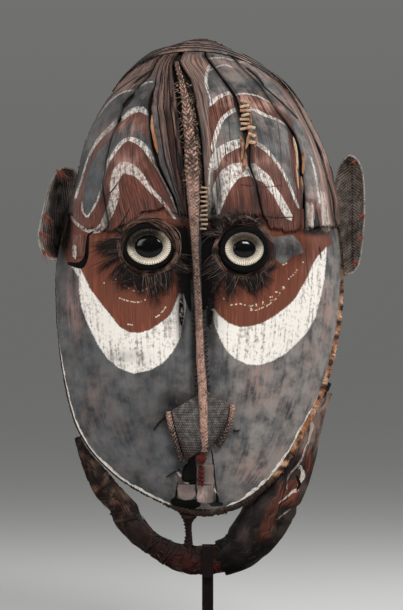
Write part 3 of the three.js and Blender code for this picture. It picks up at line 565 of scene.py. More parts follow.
# Painted spathe: grey ground, red areas, pink rubbed in, chalk areas, strokes, dots, cracks, bare back
def paintedSpathe(name, **own):
    newMaterial(name)
    look = {**paintLook, **own}
    tones = look["tones"]
    spot = placeMm()
    grain = useGroup(grainGroup, Place=grainUv(), Across=look["across"], Along=look["along"])
    lines, broad = grain["Lines"], grain["Broad"]
    small, cloudy = noise(spot, 0.16, 5.0, 0.7), noise(spot, 0.035, 6.0, 0.62)
    (red, chalk, bark), tint, dots = split("paint"), split("tint"), split("dots")
    frayed = lambda inside, fray, width: useGroup(edgeGroup, Inside=inside, Place=spot, Fray=fray, Width=width)["Mask"]
    strokes = lambda field, fray: useGroup(strokeGroup, Stroke=attribute(field, "Color"), Fray=fray, Place=spot,
        Strength=attribute(field, "Alpha"))["Mask"]
    grey = blend(ramp(noise(spot, 0.02, 4.0), 0.3, 0.7), tones["greyDark"], tones["grey"])
    # Pale smoke on the grey, growing towards the right; on the face this rise is partly painted light on the lit right
    # side
    smokeAndRightLight = ramp(cloudy + broad * 0.35, *look["smoke"]) * ramp(split(spot)[0], -120, 180, *look["pale"])
    grey = blend(smokeAndRightLight, grey, tones["greyPale"])
    grey = blend(ramp(lines, 0.42, 0.25) * 0.5, grey, tones["greyDark"])
    grey = blend(ramp(broad, 0.5, 0.75) * look["redStreaks"], grey, tones["redDark"])
    earth = blend(ramp(lines, look["redFrom"], 0.62), tones["redDark"], tones["red"])
    earth = blend(ramp(broad, 0.52, 0.7) * 0.55, earth, tones["redBright"])
    colour = blend(frayed(red, 6.0, 3.0), grey, earth)
    brown = blend(ramp(lines, 0.34, 0.7), tones["brownDark"], tones["brown"])
    brown = blend(ramp(broad, 0.5, 0.72) * 0.7, brown, tones["pink"])
    colour = blend(ramp(bark + small * 0.6, 0.55, 1.15), colour, brown)
    pink = tint[0] * ramp(broad * 1.2 + lines * 0.5 + cloudy, 1.1, 1.7)
    colour = blend(pink * 0.9, colour, tones["pink"])
    chalkTone = blend(ramp(small + broad, 0.72, 1.05), tones["whiteWorn"], tones["white"])
    wear = ramp(lines * look["wearLines"] + small, *look["wear"])
    chalk = frayed(chalk, 6.5, 2.2) * most(wear, 0.8)
    colour = blend(chalk, colour, chalkTone)
    brush = strokes("stroke", look["fray"]) * most(wear, 0.12) * ramp(lines, *look["torn"])
    colour = blend(brush, colour, chalkTone)
    away = wire("VectorMath", "Value", {0: wire("CombineXYZ", 0, {0: dots[0], 1: dots[1]})}, operation="LENGTH")
    dotted = frayed(1.35 - most(away, dots[2] - 2.6), 1.2, 0.8)
    colour = blend(dotted * ramp(small, 0.3, 0.6, 0.35, 0.9), colour, tones["cream"])
    # Cracks and painted shadows, then dark paint and painted shade from the soft tints, all in the dark tone
    cracksAndShadows = strokes("crack", 2.2)
    darkPaintAndShade = most(cracksAndShadows, maths("MULTIPLY", tint[1], 1.5, clamp=True) * ramp(small, 0.12, 0.5))
    colour = blend(darkPaintAndShade, colour, tones["dark"])
    glints = ramp(lines, 0.56, 0.72) * (look["slits"] * 0.4)
    colour = blend(glints * (1.0 - darkPaintAndShade), colour, tones["pink"])
    colour = blend(ramp(lines, 0.42, 0.29) * look["slits"], colour, tones["dark"])
    bare = ramp(tint[2], 0.35, 0.65)
    colour = blend(bare, colour, blend(ramp(lines, 0.3, 0.7), tones["dark"], tones["bare"]))
    white = most(chalk, brush) * (1.0 - bare)
    height = lines * look["relief"] + white * 0.25 + small * 0.35 - cracksAndShadows * (1.0 - bare) * 1.2
    return finishMaterial(colour, ramp(white + lines * 0.5, 0.1, 1.0, look["gloss"], 0.9), height, look["bump"],
        look["specular"])


fibreLook = {"patch": 0.1, "gloss": 0.7, "bump": 0.2, "dust": 0.35, "specular": 0.2, "whiteTone": (214, 200, 184),
    "darkTone": (30, 21, 18), "dustTone": (120, 104, 92)}


# Fibre in two tones with a grain along it: lining, plait, cane, binding, feathers, tassels
def fibreMaterial(name, **own):
    newMaterial(name)
    look = {**fibreLook, **own}
    spot = placeMm()
    lines = useGroup(grainGroup, Place=grainUv(), Across=look["across"], Along=look["along"])["Lines"]
    small = noise(spot, look["patch"], 4.0, 0.65)
    colour = blend(ramp(lines, 0.3, 0.7), look["dark"], look["pale"])
    colour = blend(ramp(small, 0.48, 0.7), colour, look["accent"])
    height = lines
    if "pitch" in look:    # plaited, with dark gaps and flecks
        twist = useGroup(twistGroup, Place=grainUv(), Pitch=look["pitch"], Chevron=look["chevron"])
        each = wire("TexWhiteNoise", "Value", {"W": twist["Number"]}, noise_dimensions="1D")
        colour = blend(ramp(each, 0.25, 0.95), colour, look["accent"])
        colour = blend(ramp(twist["Height"], look["gapHigh"], 0.3), colour, look["deep"])
        fleck = noise(spot, look["flecks"], 2.0, 0.6)
        colour = blend(ramp(fleck, 0.5, 0.42), colour, look["deep"])
        height = twist["Height"] * 2.0 + lines + fleck * 1.5
    tint = split("tint")
    colour = blend(tint[0] * ramp(small + lines, 0.75, 1.1), colour, look["whiteTone"])
    # The tint's second number darkens: dark fibre, and painted shade on the ridge's sides and in the hollow behind the
    # nose
    colour = blend(tint[1], colour, look["darkTone"])
    if "ruddyTone" in look:
        colour = blend(tint[2], colour, look["ruddyTone"])
    colour = blend(useGroup(dustGroup, Place=spot, Amount=look["dust"])["Mask"], colour, look["dustTone"])
    roughness = ramp(small, 0.2, 0.8, look["gloss"], min(look["gloss"] + 0.25, 1.0))
    return finishMaterial(colour, roughness, height, look["bump"], look["specular"])


looks = {
    "face": paintedSpathe(
        "facePaint", along=60.0, redStreaks=0.3, pale=(0.42, 1.3), smoke=(0.42, 0.92), redFrom=0.1, specular=0.08,
        wearLines=0.15, wear=(0.3, 0.5), fray=1.2, slits=0.0, gloss=0.42, bump=0.3, torn=(0.1, 0.3)),
    "forehead": paintedSpathe(
        "foreheadPaint", tones=foreheadTones, across=1.5, along=42.0, wear=(0.5, 0.9), fray=3.6, slits=0.8,
        relief=1.5, torn=(0.3, 0.52)),
    "foreheadRight": paintedSpathe(
        "ribbedPaint", tones=ribbedTones, across=1.9, along=70.0, pale=(0.7, 0.7), wear=(0.46, 0.84), slits=0.95,
        relief=1.8, torn=(0.36, 0.5)),
    "sheath": paintedSpathe("sheathPaint", tones=sheathTones, redStreaks=0.8, relief=1.4, specular=0.08),
    "tab": paintedSpathe(
        "tabPaint", tones=tabTones, across=2.4, along=40.0, redStreaks=0.1, wear=(0.4, 0.62), fray=1.2, slits=0.2,
        bump=0.3, torn=(0.1, 0.3)),
    # Lining: near black, partly painted shade, so the splits between the strips and the hollow behind the nose read
    # dark
    "lining": fibreMaterial(
        "shadedBareSpathe", across=1.6, along=50.0, dark=(14, 10, 9), pale=(36, 26, 21), accent=(26, 19, 16), bump=0.6,
        dust=0.06, darkTone=(5, 4, 4)),
    "plait": fibreMaterial(
        "plaitedFibre", across=6.0, along=0.06, dark=(100, 80, 72), pale=(184, 158, 146), accent=(132, 108, 98),
        bump=0.9, pitch=5.8, chevron=0.9, flecks=0.3, deep=(16, 11, 10), gapHigh=0.98, whiteTone=(206, 162, 144)),
    "cane": fibreMaterial(
        "splitCane", across=0.5, along=14.0, dark=(84, 50, 32), pale=(182, 116, 70), accent=(112, 68, 44),
        gloss=0.45, bump=0.4, darkTone=(24, 15, 12), whiteTone=(204, 178, 150)),
    "binding": fibreMaterial(
        "boundFibre", across=1.5, along=26.0, dark=(9, 6, 5), specular=0.12, pale=(36, 24, 20), accent=(46, 18, 13),
        gloss=0.55, bump=1.2, patch=0.035, dust=0.06, darkTone=(9, 6, 5), whiteTone=(122, 96, 80),
        dustTone=(92, 78, 70), ruddyTone=(86, 28, 19)),
    "feather": fibreMaterial(
        "hairFeather", across=0.2, along=20.0, dark=(10, 8, 8), pale=(46, 37, 35), accent=(26, 20, 19), gloss=0.4,
        bump=0.1, dust=0.05, whiteTone=(132, 112, 102)),
    "strand": fibreMaterial(
        "tanStrand", across=0.3, along=12.0, dark=(38, 22, 19), pale=(100, 69, 60), accent=(66, 38, 31), gloss=0.65,
        dust=0.08, whiteTone=(190, 160, 142)),
    "tassel": fibreMaterial(
        "redCord", across=0.3, along=8.0, dark=(74, 30, 24), pale=(146, 68, 52), accent=(104, 44, 34), dust=0.12,
        whiteTone=(200, 124, 100)),
    "rung": fibreMaterial(
        "paleFibre", across=0.4, along=9.0, dark=(120, 92, 74), pale=(206, 182, 156), accent=(170, 138, 112),
        gloss=0.65, bump=0.3),
}


# Black nut paste: lumpy, half matt, with dusty high spots
def pasteMaterial():
    newMaterial("blackPaste")
    spot = placeMm()
    lumps = noise(spot, 0.5, 5.0, 0.6)
    colour = blend(ramp(lumps, 0.4, 0.75), (3, 2, 2), (10, 8, 7))
    colour = blend(useGroup(dustGroup, Place=spot, Amount=0.12)["Mask"], colour, (30, 23, 20))
    return finishMaterial(colour, ramp(lumps, 0.3, 0.7, 0.6, 0.9), lumps, 0.9, 0.1)


# Cone shell: ivory with fine rays round the eye; UV x counts the rays, UV y runs from rim to pupil
def shellMaterial():
    newMaterial("ivoryShell")
    rays = wave(split(grainUv())[0]) ** 0.5
    spot = placeMm()
    stain = noise(spot, 0.22, 5.0, 0.6)
    worn, stainedAndShaded, featherShadowed = split("tint")
    colour = blend(ramp(rays, 0.2, 0.8), (150, 134, 116), (226, 216, 198))
    colour = blend(ramp(stain, 0.5, 0.75), colour, (172, 156, 136))
    # Painted shade at the top and by the pupil, partly real stain, then the painted shadow of the feathers
    colour = blend(stainedAndShaded * ramp(stain, 0.2, 0.7, 0.75, 1.0), colour, (84, 72, 60))
    colour = blend(ramp(noise(spot, 0.9, 3.0, 0.7), 0.5, 0.6) * worn, colour, (40, 32, 27))
    colour = blend(featherShadowed * ramp(stain, 0.2, 0.6, 0.85, 1.0), colour, (26, 20, 17))
    return finishMaterial(colour, ramp(stain, 0.3, 0.7, 0.35, 0.55), rays, 0.6)


# Pupil: black with a faint haze, glossy
def pupilMaterial():
    newMaterial("blackPupil")
    haze = noise(placeMm(), 0.3, 4.0)
    colour = blend(ramp(haze, 0.5, 0.85), (3, 3, 4), (13, 11, 11))
    return finishMaterial(colour, ramp(haze, 0.3, 0.8, 0.05, 0.16), haze, 0.1, 0.22)


# Knotless netting: rows of loops with dark holes; UV x and y count the loops
def knitMaterial():
    newMaterial("greyNetting")
    across, up = split(grainUv())[:2]
    loop = wave(across + maths("MODULO", maths("FLOOR", up), 2.0) * 0.5) * wave(up)
    small = noise(placeMm(), 0.12, 5.0, 0.65)
    dark = split("tint")[1]
    hole = maths("MULTIPLY", ramp(loop + small * 0.3, 0.56, 0.3), dark * 0.75 + 0.3, clamp=True)
    colour = blend(hole, blend(ramp(small, 0.35, 0.7), (74, 70, 68), (120, 114, 110)), (18, 14, 13))
    return finishMaterial(blend(dark * 0.8, colour, (46, 29, 25)), 0.85, loop, 0.9)


# Red seeds: dark at the foot of the string, brighter above, dusty
def beadMaterial():
    newMaterial("redSeed")
    spot = placeMm()
    small = noise(spot, 0.25, 3.0)
    colour = blend(ramp(split(spot)[2] + small * 8.0, 384, 396), (66, 13, 10), (164, 62, 44))
    colour = blend(useGroup(dustGroup, Place=spot, Amount=0.2)["Mask"], colour, (150, 96, 80))
    return finishMaterial(colour, ramp(small, 0.3, 0.7, 0.3, 0.6), small, 0.3)


# Coiled basketry: UV x counts the coils, UV y runs along them; the tint's first number is the pale edge, the second
# painted shade inside the bowl and the right ear's dark spine
def basketMaterial():
    newMaterial("coiledBasket")
    across, along = split(grainUv())[:2]
    weave = wave(across) ** 0.5 + wave(along + across * 0.5) * 0.5
    small = noise(placeMm(), 0.08, 4.0, 0.6)
    edge, bowlShade = split("tint")[:2]
    colour = blend(ramp(small, 0.35, 0.7), (82, 72, 66), (138, 124, 114))
    colour = blend(ramp(weave, 0.95, 0.45), colour, (20, 16, 15))
    pale = blend(ramp(small, 0.3, 0.7), (116, 108, 103), (166, 158, 151))
    colour = blend(ramp(edge, 0.4, 0.6), colour, pale)
    colour = blend(bowlShade * ramp(weave, 1.35, 0.85, 0.45, 1.0), colour, (11, 9, 8))
    return finishMaterial(colour, ramp(small, 0.3, 0.7, 0.6, 0.85), weave, 0.9)


# Bronze-painted steel: fine mottling and rubbed spots
def steelMaterial():
    newMaterial("bronzedSteel")
    spot = placeMm()
    fine = noise(spot, 0.6, 4.0)
    colour = blend(ramp(noise(spot, 0.02), 0.35, 0.7), (10, 4, 4), (18, 8, 7))
    colour = blend(ramp(fine, 0.6, 0.75), colour, (34, 20, 17))
    return finishMaterial(colour, ramp(fine, 0.3, 0.7, 0.5, 0.7), fine, 0.12, 0.1)


looks.update(paste=pasteMaterial(), shell=shellMaterial(), pupil=pupilMaterial(), knit=knitMaterial(),
    bead=beadMaterial(), basket=basketMaterial(), steel=steelMaterial())
print("stage: materials made,", len(looks))

# The painted picture: brush lines and areas as seen from the front, x and z

# Brush lines: points, width in mm at each point or one width, and how strongly the paint covers
whiteLines = [
    ([(-197, 994), (-186, 1011), (-175, 1023), (-162, 1032), (-151, 1037), (-138, 1039)], [3], 0.6),
    ([(-131, 1034), (-126, 1043), (-118, 1048), (-109, 1053), (-100, 1054)], [3], 0.7),
    ([(-237, 844), (-233, 858), (-228, 872), (-222, 894), (-215, 916), (-206, 933), (-197, 947), (-186, 958),
    (-173, 970), (-162, 981), (-150, 986), (-141, 995), (-130, 1000), (-119, 1001), (-108, 993)],
    [5, 5, 3.5, 3.5, 3.5, 5, 6.5, 8, 9, 8, 7, 10, 11, 11, 8], 0.9),
    ([(-224, 833), (-223, 819), (-215, 808), (-208, 815), (-202, 825), (-195, 838), (-190, 855), (-186, 871),
    (-183, 888), (-177, 906), (-167, 921), (-154, 939), (-142, 946), (-131, 944), (-118, 936), (-105, 921),
    (-95, 903), (-84, 885), (-73, 862), (-63, 838), (-54, 817)],
    [3, 3, 3, 3.5, 3.5, 3.5, 3.5, 4, 5, 5.5, 6, 7, 7, 9, 10, 10, 7, 6, 4.5, 3.5, 2.5], 0.9),
    ([(-246, 811), (-236, 798), (-220, 786), (-204, 782), (-189, 787), (-180, 801), (-171, 822), (-164, 844),
    (-166, 865), (-161, 883), (-150, 894), (-137, 891), (-125, 884), (-112, 869), (-100, 853), (-87, 840),
    (-73, 823), (-59, 805)], [5, 5, 6, 7, 12, 14, 16, 16, 16, 18, 21, 20, 14, 11, 8, 6, 5, 5], 0.68),
    ([(3, 1084), (-2, 1068), (-3, 1050), (1, 1034), (6, 1019)], [5], 0.8),
    ([(6, 1009), (15, 1019), (26, 1026), (38, 1031)], [6.5], 0.95),
    ([(47, 1025), (56, 1029), (67, 1030), (80, 1029), (91, 1026), (103, 1020), (118, 1012)],
    [4, 3.5, 3, 3, 3, 2.5, 2], 0.75), ([(6, 1076), (19, 1083), (32, 1087), (46, 1082)], [2.5], 0.6),
    ([(-1, 1099), (14, 1101), (28, 1102), (45, 1098)], [2.5], 0.6),
    ([(59, 1094), (69, 1096), (78, 1094)], [2.5], 0.6),
    ([(9, 929), (13, 946), (18, 962), (25, 979), (36, 991), (50, 1000)], [7.5], 0.95),
    ([(76, 1002), (88, 998), (101, 991), (115, 986), (130, 980), (142, 971)], [6, 6, 5.5, 5, 3.5, 2.5], 0.8),
    ([(11, 897), (16, 911), (25, 922), (38, 930), (52, 936), (69, 941)], [18, 19, 19, 18, 16, 13], 0.9),
    ([(82, 940), (93, 933), (105, 924), (116, 911), (126, 897), (135, 883), (144, 864), (153, 842), (160, 825)],
    [5, 8, 7, 5, 4.5, 4.5, 4.5, 4.5, 4], 0.9), ([(13, 817), (18, 838), (25, 858), (36, 876), (50, 887), (71, 889)],
    [20, 25, 30, 32, 28, 22], 0.9), ([(78, 889), (90, 881), (103, 873), (113, 857), (124, 842), (135, 822),
    (144, 807)], [24, 21, 16, 13, 13, 14, 12], 0.9),
    ([(185, 915), (191, 896), (194, 878), (197, 857), (199, 835)], [3.5], 0.75),
    ([(4, 888), (2, 856), (6, 826), (13, 796)], [3], 0.6), ([(175, 830), (175, 786)], [8], 0.7),
    ([(185, 828), (187, 788)], [6, 8], 0.6), ([(206, 850), (212, 790)], [9, 17], 0.5),
    ([(13, 324), (16, 319)], [3.6], 1.0), ([(-238, 754), (-237, 739)], [8], 0.85),
    ([(-54, 357), (-48, 350)], [3, 5], 0.9), ([(-38, 337), (-35, 336)], [4], 0.9),
]
# Dark lines: cracks, and painted shadow under the chin flap, beside the nose hole and beside the ridge between the eyes
cracksAndShadowLines = [
    ([(72, 1082), (88, 1066), (100, 1051)], [4], 1.0),
    ([(-8, 1103), (12, 1078), (33, 1046), (51, 1023), (70, 997)], [2], 0.9),
    ([(98, 1049), (131, 1019), (161, 989)], [3.5], 1.0),
    ([(204, 912), (213, 883), (220, 840), (226, 800)], [2.2], 0.9),
    ([(74, 1009), (73, 943), (74, 898), (78, 871), (95, 850)], [2.5], 0.8),
    ([(92, 866), (94, 827), (97, 797)], [2.5], 0.8), ([(173, 749), (176, 722), (180, 686)], [1.6], 0.7),
    ([(199, 753), (202, 735)], [3], 0.9), ([(-130, 960), (-133, 900), (-124, 850)], [1.2], 0.5),
    ([(-70, 1085), (-72, 1020), (-68, 950), (-58, 880)], [2.2], 0.8),
    ([(30, 1060), (36, 1000), (40, 930), (38, 850)], [1.4], 0.6),
    ([(120, 1010), (128, 950), (130, 880), (126, 810)], [1.6], 0.7),
    ([(-205, 930), (-214, 880), (-222, 830)], [1.4], 0.6),
    ([(-247, 725), (-234, 722), (-224, 723), (-216, 736), (-214, 757), (-212, 774), (-204, 781)],
    [6, 10, 13, 8, 7, 5, 3], 1.0), ([(7, 393), (10, 370), (13, 340), (16, 322)], [2.6], 1.0),
    ([(16, 318), (17, 302)], [3, 7], 1.0), ([(193, 822), (195, 788)], [2, 14], 1.0),
    ([(-53, 337), (-55, 320), (-58, 300)], [2.5, 3, 7], 1.0), ([(-50, 331), (-32, 332)], [3], 0.9),
    ([(-58, 302), (-46, 297), (-34, 296), (-20, 300)], [16, 20, 20, 16], 1.0), ([(8, 299), (24, 298)], [10, 7], 0.9),
    ([(-28, 394), (-28, 372), (-27, 350), (-27, 334)], [12, 15, 15, 13], 1.0),
    ([(-179, 844), (-170, 852), (-159, 866)], [1, 3, 1.5], 1.0),
    ([(-161, 782), (-151, 796), (-137, 820)], [1, 3, 1.5], 1.0),
    ([(-134, 1052), (-120, 1064), (-100, 1078)], [3, 6, 3], 1.0),
    ([(-206, 990), (-184, 1022), (-158, 1046), (-128, 1066)], [1.5, 3, 3, 2], 0.9),
    ([(-41, 780), (-40, 740), (-39, 700), (-35, 665), (-31, 645)], [14, 20, 18, 12, 6], 1.0),
    ([(-4, 780), (-1, 740), (-1, 700), (-4, 665), (-8, 645)], [16, 22, 20, 14, 10], 1.0),
    ([(60, 862), (96, 858), (130, 862)], [1.6], 0.7), ([(106, 806), (120, 804), (150, 806)], [2], 0.9),
]
crescents = {
    "leftOut": [(-244, 721), (-229, 699), (-229, 676), (-225, 651), (-218, 628), (-207, 605), (-194, 580),
    (-178, 557), (-157, 540), (-130, 530), (-101, 537), (-79, 549), (-61, 569), (-49, 593), (-42, 621), (-38, 651),
    (-40, 677)], "leftIn": [(-244, 721), (-227, 717), (-220, 703), (-209, 681), (-196, 663), (-181, 644),
    (-169, 630), (-155, 612), (-137, 603), (-121, 602), (-101, 607), (-84, 619), (-66, 633), (-56, 655), (-49, 674)],
    "rightOut": [(-1, 674), (4, 651), (11, 619), (20, 595), (32, 572), (48, 557), (69, 547), (90, 545), (111, 551),
    (135, 563), (154, 580), (174, 600), (191, 628), (200, 660), (208, 696), (211, 728), (213, 755)],
    "rightIn": [(-1, 674), (7, 651), (20, 632), (37, 619), (57, 612), (76, 614), (95, 619), (115, 630), (135, 644),
    (153, 660), (167, 683), (178, 702), (187, 724), (196, 738)],
}
lobe = [(-223, 824), (-223, 848), (-220, 866), (-215, 890), (-206, 911), (-195, 927), (-182, 939), (-171, 949),
        (-160, 962), (-149, 971), (-137, 975), (-124, 970), (-113, 958), (-102, 939)]
chalkAreas = [crescents["leftOut"] + crescents["leftIn"][::-1], crescents["rightOut"] + crescents["rightIn"][::-1]]
redAreas = [
    crescents["leftIn"] + [(-30, 690), (-30, 840), (-160, 836), (-182, 800), (-216, 788), (-256, 786), (-256, 735)],
    crescents["rightIn"] + [(222, 760), (214, 800), (190, 840), (0, 840), (-3, 700)],
    whiteLines[3][0][2:] + [(-44, 780), (-252, 774), (-247, 812), (-240, 846), (-224, 838)],
    whiteLines[2][0] + lobe[::-1],
    whiteLines[13][0] + whiteLines[14][0] + [(166, 780), (4, 780)],
    whiteLines[6][0] + whiteLines[7][0] + [(136, 1001), (152, 984), (158, 950), (163, 900), (168, 830)]
    + [(158, 830), (150, 880), (144, 950)] + whiteLines[12][0][::-1] + whiteLines[11][0][::-1]
    + [(7, 905), (1, 940), (1, 1000)],
]
greyArea = [(112, 770), (150, 775), (166, 758), (170, 744), (150, 738), (132, 722), (112, 738)]
# Bare brown fibre: outlines beside the ridge and over the top
brownAreas = [[(-95, 1110), (-92, 1040), (-92, 960), (-70, 880), (-56, 800), (-10, 800), (-10, 1110)],
    [(-40, 1110), (-40, 1060), (-10, 990), (-8, 800), (8, 795), (6, 880), (3, 960), (0, 1010), (-6, 1060),
    (14, 1100)], [(-224, 960), (-197, 997), (-186, 1014), (-175, 1027), (-162, 1036), (-138, 1043), (-126, 1048),
    (-109, 1058), (-94, 1060), (-90, 1110), (-160, 1110), (-260, 1000)],
    [(172, 970), (140, 1030), (100, 1080), (60, 1100), (120, 1100), (240, 960), (240, 790), (205, 790), (200, 880),
    (188, 930)]]
dotRows = [(-183, 690), (-162, 696), (-146, 686), (-139, 681), (-130, 676), (-123, 675), (-115, 676), (-108, 679),
    (-155, 663), (-147, 660), (-140, 658), (-135, 657), (-128, 656), (-121, 656), (-110, 660), (-91, 630),
    (-85, 633), (-79, 640), (-74, 647), (-140, 617), (-133, 616), (28, 662), (41, 651), (49, 652), (57, 653),
    (65, 651), (76, 649), (76, 642), (86, 642), (95, 646), (104, 649), (111, 655), (120, 662), (127, 672),
    (135, 681), (85, 652), (97, 656), (110, 665), (120, 674), (133, 683), (143, 697), (151, 704), (158, 713),
    (133, 722), (139, 725), (169, 727)]
# Soft tints: which one (0 pink, 1 dark: dark paint, and painted shade left of the nose, beside the ridge, round the
# eyes, under the brow and over the top left of the forehead), x, z, half width, half height, amount
softTintsAndShade = [
    (0, -238, 655, 16, 55, 0.9), (0, 214, 640, 15, 62, 0.9), (0, 78, 355, 32, 36, 0.7), (0, 97, 510, 42, 38, 0.5),
    (0, 182, 560, 24, 40, 0.5), (0, 190, 690, 22, 50, 0.6), (0, -232, 760, 16, 30, 0.5), (0, 200, 850, 22, 70, 0.8),
    (0, 120, 1010, 60, 22, 0.7), (0, -160, 1050, 34, 12, 0.9), (0, -242, 830, 10, 50, 0.6),
    (0, 60, 1090, 60, 12, 0.6), (0, 92, 530, 26, 60, 0.8), (0, 130, 480, 22, 60, 0.5), (0, 80, 352, 34, 30, 0.9),
    (0, 130, 400, 20, 50, 0.5), (0, 190, 470, 22, 60, 0.4), (0, -200, 470, 30, 60, 0.25), (0, 178, 808, 10, 22, 1.0),
    (0, 211, 808, 12, 22, 1.0), (0, 30, 1085, 40, 14, 0.6), (0, -55, 340, 12, 12, 0.5), (0, 0, 330, 14, 30, 0.5),
    (0, 16, 950, 10, 60, 0.5), (1, -23, 640, 9, 240, 0.5), (1, 8, 690, 9, 130, 0.8), (1, -46, 715, 13, 80, 0.9),
    (1, 12, 730, 14, 70, 0.95), (1, -60, 460, 40, 40, 0.45), (1, 22, 450, 26, 50, 0.3), (1, -103, 740, 58, 44, 0.7),
    (1, 64, 738, 54, 44, 0.7), (1, -95, 690, 40, 22, 0.45), (1, 38, 690, 36, 20, 0.45), (1, 10, 800, 12, 60, 0.8),
    (1, -44, 800, 10, 60, 0.6), (1, -34, 355, 22, 30, 0.7), (1, -10, 328, 46, 20, 0.3), (1, -238, 700, 8, 30, 0.3),
    (1, -150, 560, 40, 12, 0.2), (1, -40, 724, 20, 82, 1.0), (1, 7, 722, 26, 80, 1.0), (1, -46, 640, 9, 60, 0.8),
    (1, 2, 640, 8, 60, 0.8), (0, 70, 1014, 74, 13, 0.9), (1, -34, 396, 26, 16, 0.8), (1, 6, 452, 8, 44, 0.8),
    (1, -60, 480, 30, 22, 0.6), (1, -46, 372, 16, 34, 0.5), (1, 70, 800, 50, 14, 0.7), (1, 84, 850, 7, 44, 0.6),
    (1, -50, 840, 14, 50, 0.5), (1, 18, 850, 10, 60, 0.6), (1, -50, 780, 24, 16, 0.8), (1, 190, 782, 34, 8, 0.8),
    (1, 30, 812, 40, 20, 0.5), (1, -176, 985, 46, 46, 0.28), (1, -216, 900, 22, 60, 0.16),
    (0, 50, 1018, 44, 13, 1.8), (0, 105, 1008, 42, 12, 1.8), (0, -150, 968, 44, 18, 1.4),
    (0, -140, 905, 30, 16, 1.0), (0, 60, 905, 60, 14, 0.9), (0, 90, 1074, 60, 14, 0.8), (0, 213, 900, 15, 90, 1.4),
    (1, -256, 790, 15, 60, 0.95), (1, 146, 750, 40, 24, 0.5), (1, -60, 850, 22, 60, 0.3),
]


# Which points lie within 30 mm of the box round p
def nearTo(p, x, z):
    low, high = p.min(0) - 30, p.max(0) + 30
    return (x > low[0]) & (x < high[0]) & (z > low[1]) & (z < high[1])


# Signed distance to the nearest stroke edge: sign by the side of the line, distance, half width, strength
def strokeField(x, z, lines):
    x, z = np.asarray(x, float), np.asarray(z, float)
    found = np.zeros(x.shape + (4,))
    found[..., :2] = 99.0
    best = np.full(x.shape, 99.0)
    for points, widths, strength in lines:
        p = np.array(points, float)
        near = nearTo(p, x, z)
        if not near.any():
            continue
        t = evenly(4 * (len(p) - 1) + 1)
        line = catmull(p, t)
        width = np.interp(t, evenly(len(widths)), widths) / 2
        a, d = line[:-1], np.diff(line, axis=0)
        dx, dz = x[near][:, None] - a[:, 0], z[near][:, None] - a[:, 1]
        share = np.clip((dx * d[:, 0] + dz * d[:, 1]) / (d ** 2).sum(1), 0, 1)
        ox, oz = dx - share * d[:, 0], dz - share * d[:, 1]
        away = np.hypot(ox, oz)
        half = width[:-1] + share * np.diff(width)
        k = np.argmin(away - half, axis=1)[:, None]
        pick = lambda table: np.take_along_axis(table, k, 1)[:, 0]
        side = np.sign(pick(dx * d[:, 1] - dz * d[:, 0]) + 1e-9)
        value = pick(away - half)
        rows = np.stack([side * pick(away), pick(away), pick(half), np.full(len(value), strength)], -1)
        old = best[near]
        found[near] = np.where((value < old)[:, None], rows, found[near])
        best[near] = np.minimum(value, old)
    return found


# Signed distance to an outline's edges, positive inside by counting crossings
def areaField(x, z, outline):
    p = np.array(outline, float)
    value = np.full(x.shape, -30.0)
    near = nearTo(p, x, z)
    if near.any():
        a, b = p, np.roll(p, -1, 0)
        d = b - a
        dx, dz = x[near][:, None] - a[:, 0], z[near][:, None] - a[:, 1]
        share = np.clip((dx * d[:, 0] + dz * d[:, 1]) / np.maximum((d ** 2).sum(1), 1e-9), 0, 1)
        away = np.hypot(dx - share * d[:, 0], dz - share * d[:, 1]).min(1)
        px, pz = x[near][:, None], z[near][:, None]
        crosses = ((a[:, 1] > pz) != (b[:, 1] > pz)) & (px < a[:, 0] + (pz - a[:, 1]) * d[:, 0]
            / np.where(d[:, 1] == 0, 1e-9, d[:, 1]))
        value[near] = np.where(crosses.sum(1) % 2 == 1, away, -away)
    return value


# All the paint on points seen at x, z: areas, strokes, cracks with painted shadows, dots and soft tints with painted
# shade (sums of bell curves)
def paintFields(points, bare=0.0):
    x, z = points[..., 0], points[..., 2]
    red, chalk, brown = (np.max([areaField(x, z, a) for a in areas], axis=0)
        for areas in (redAreas, chalkAreas, brownAreas))
    red = np.minimum(red, -areaField(x, z, greyArea))
    tint = np.zeros(x.shape + (3,))
    for which, cx, cz, rx, rz, amount in softTintsAndShade:
        bell = amount * np.exp(-((x - cx) / rx) ** 2 - ((z - cz) / rz) ** 2)
        tint[..., which] = np.maximum(tint[..., which], bell)
    tint[..., 2] = bare
    dots = np.array(dotRows, float)
    dx, dz = x[..., None] - dots[:, 0], z[..., None] - dots[:, 1]
    away = np.hypot(dx, dz)
    k = np.argmin(away, axis=-1)[..., None]
    pick = lambda table: np.take_along_axis(table, k, -1)[..., 0]
    return {"paint": np.stack([red, chalk, smooth(brown, -6, 6)], -1), "stroke": strokeField(x, z, whiteLines),
            "crack": strokeField(x, z, cracksAndShadowLines), "tint": tint,
            "dots": np.stack([pick(dx), pick(dz), pick(away)], -1)}


# The head: face sheet, lining, forehead and crown strips

faceSheet = {"foot": 0.034, "top": 0.6, "columns": 180, "rows": 176, "waves": 0.9, "hole": (-34, 355, 13, 20),
    "holeFray": 0.2}


# UV in mm along the surface: angle times the mean radius, height share times the head's length
def grainAt(angle, v):
    return stacked(angle * 255, v * 950)


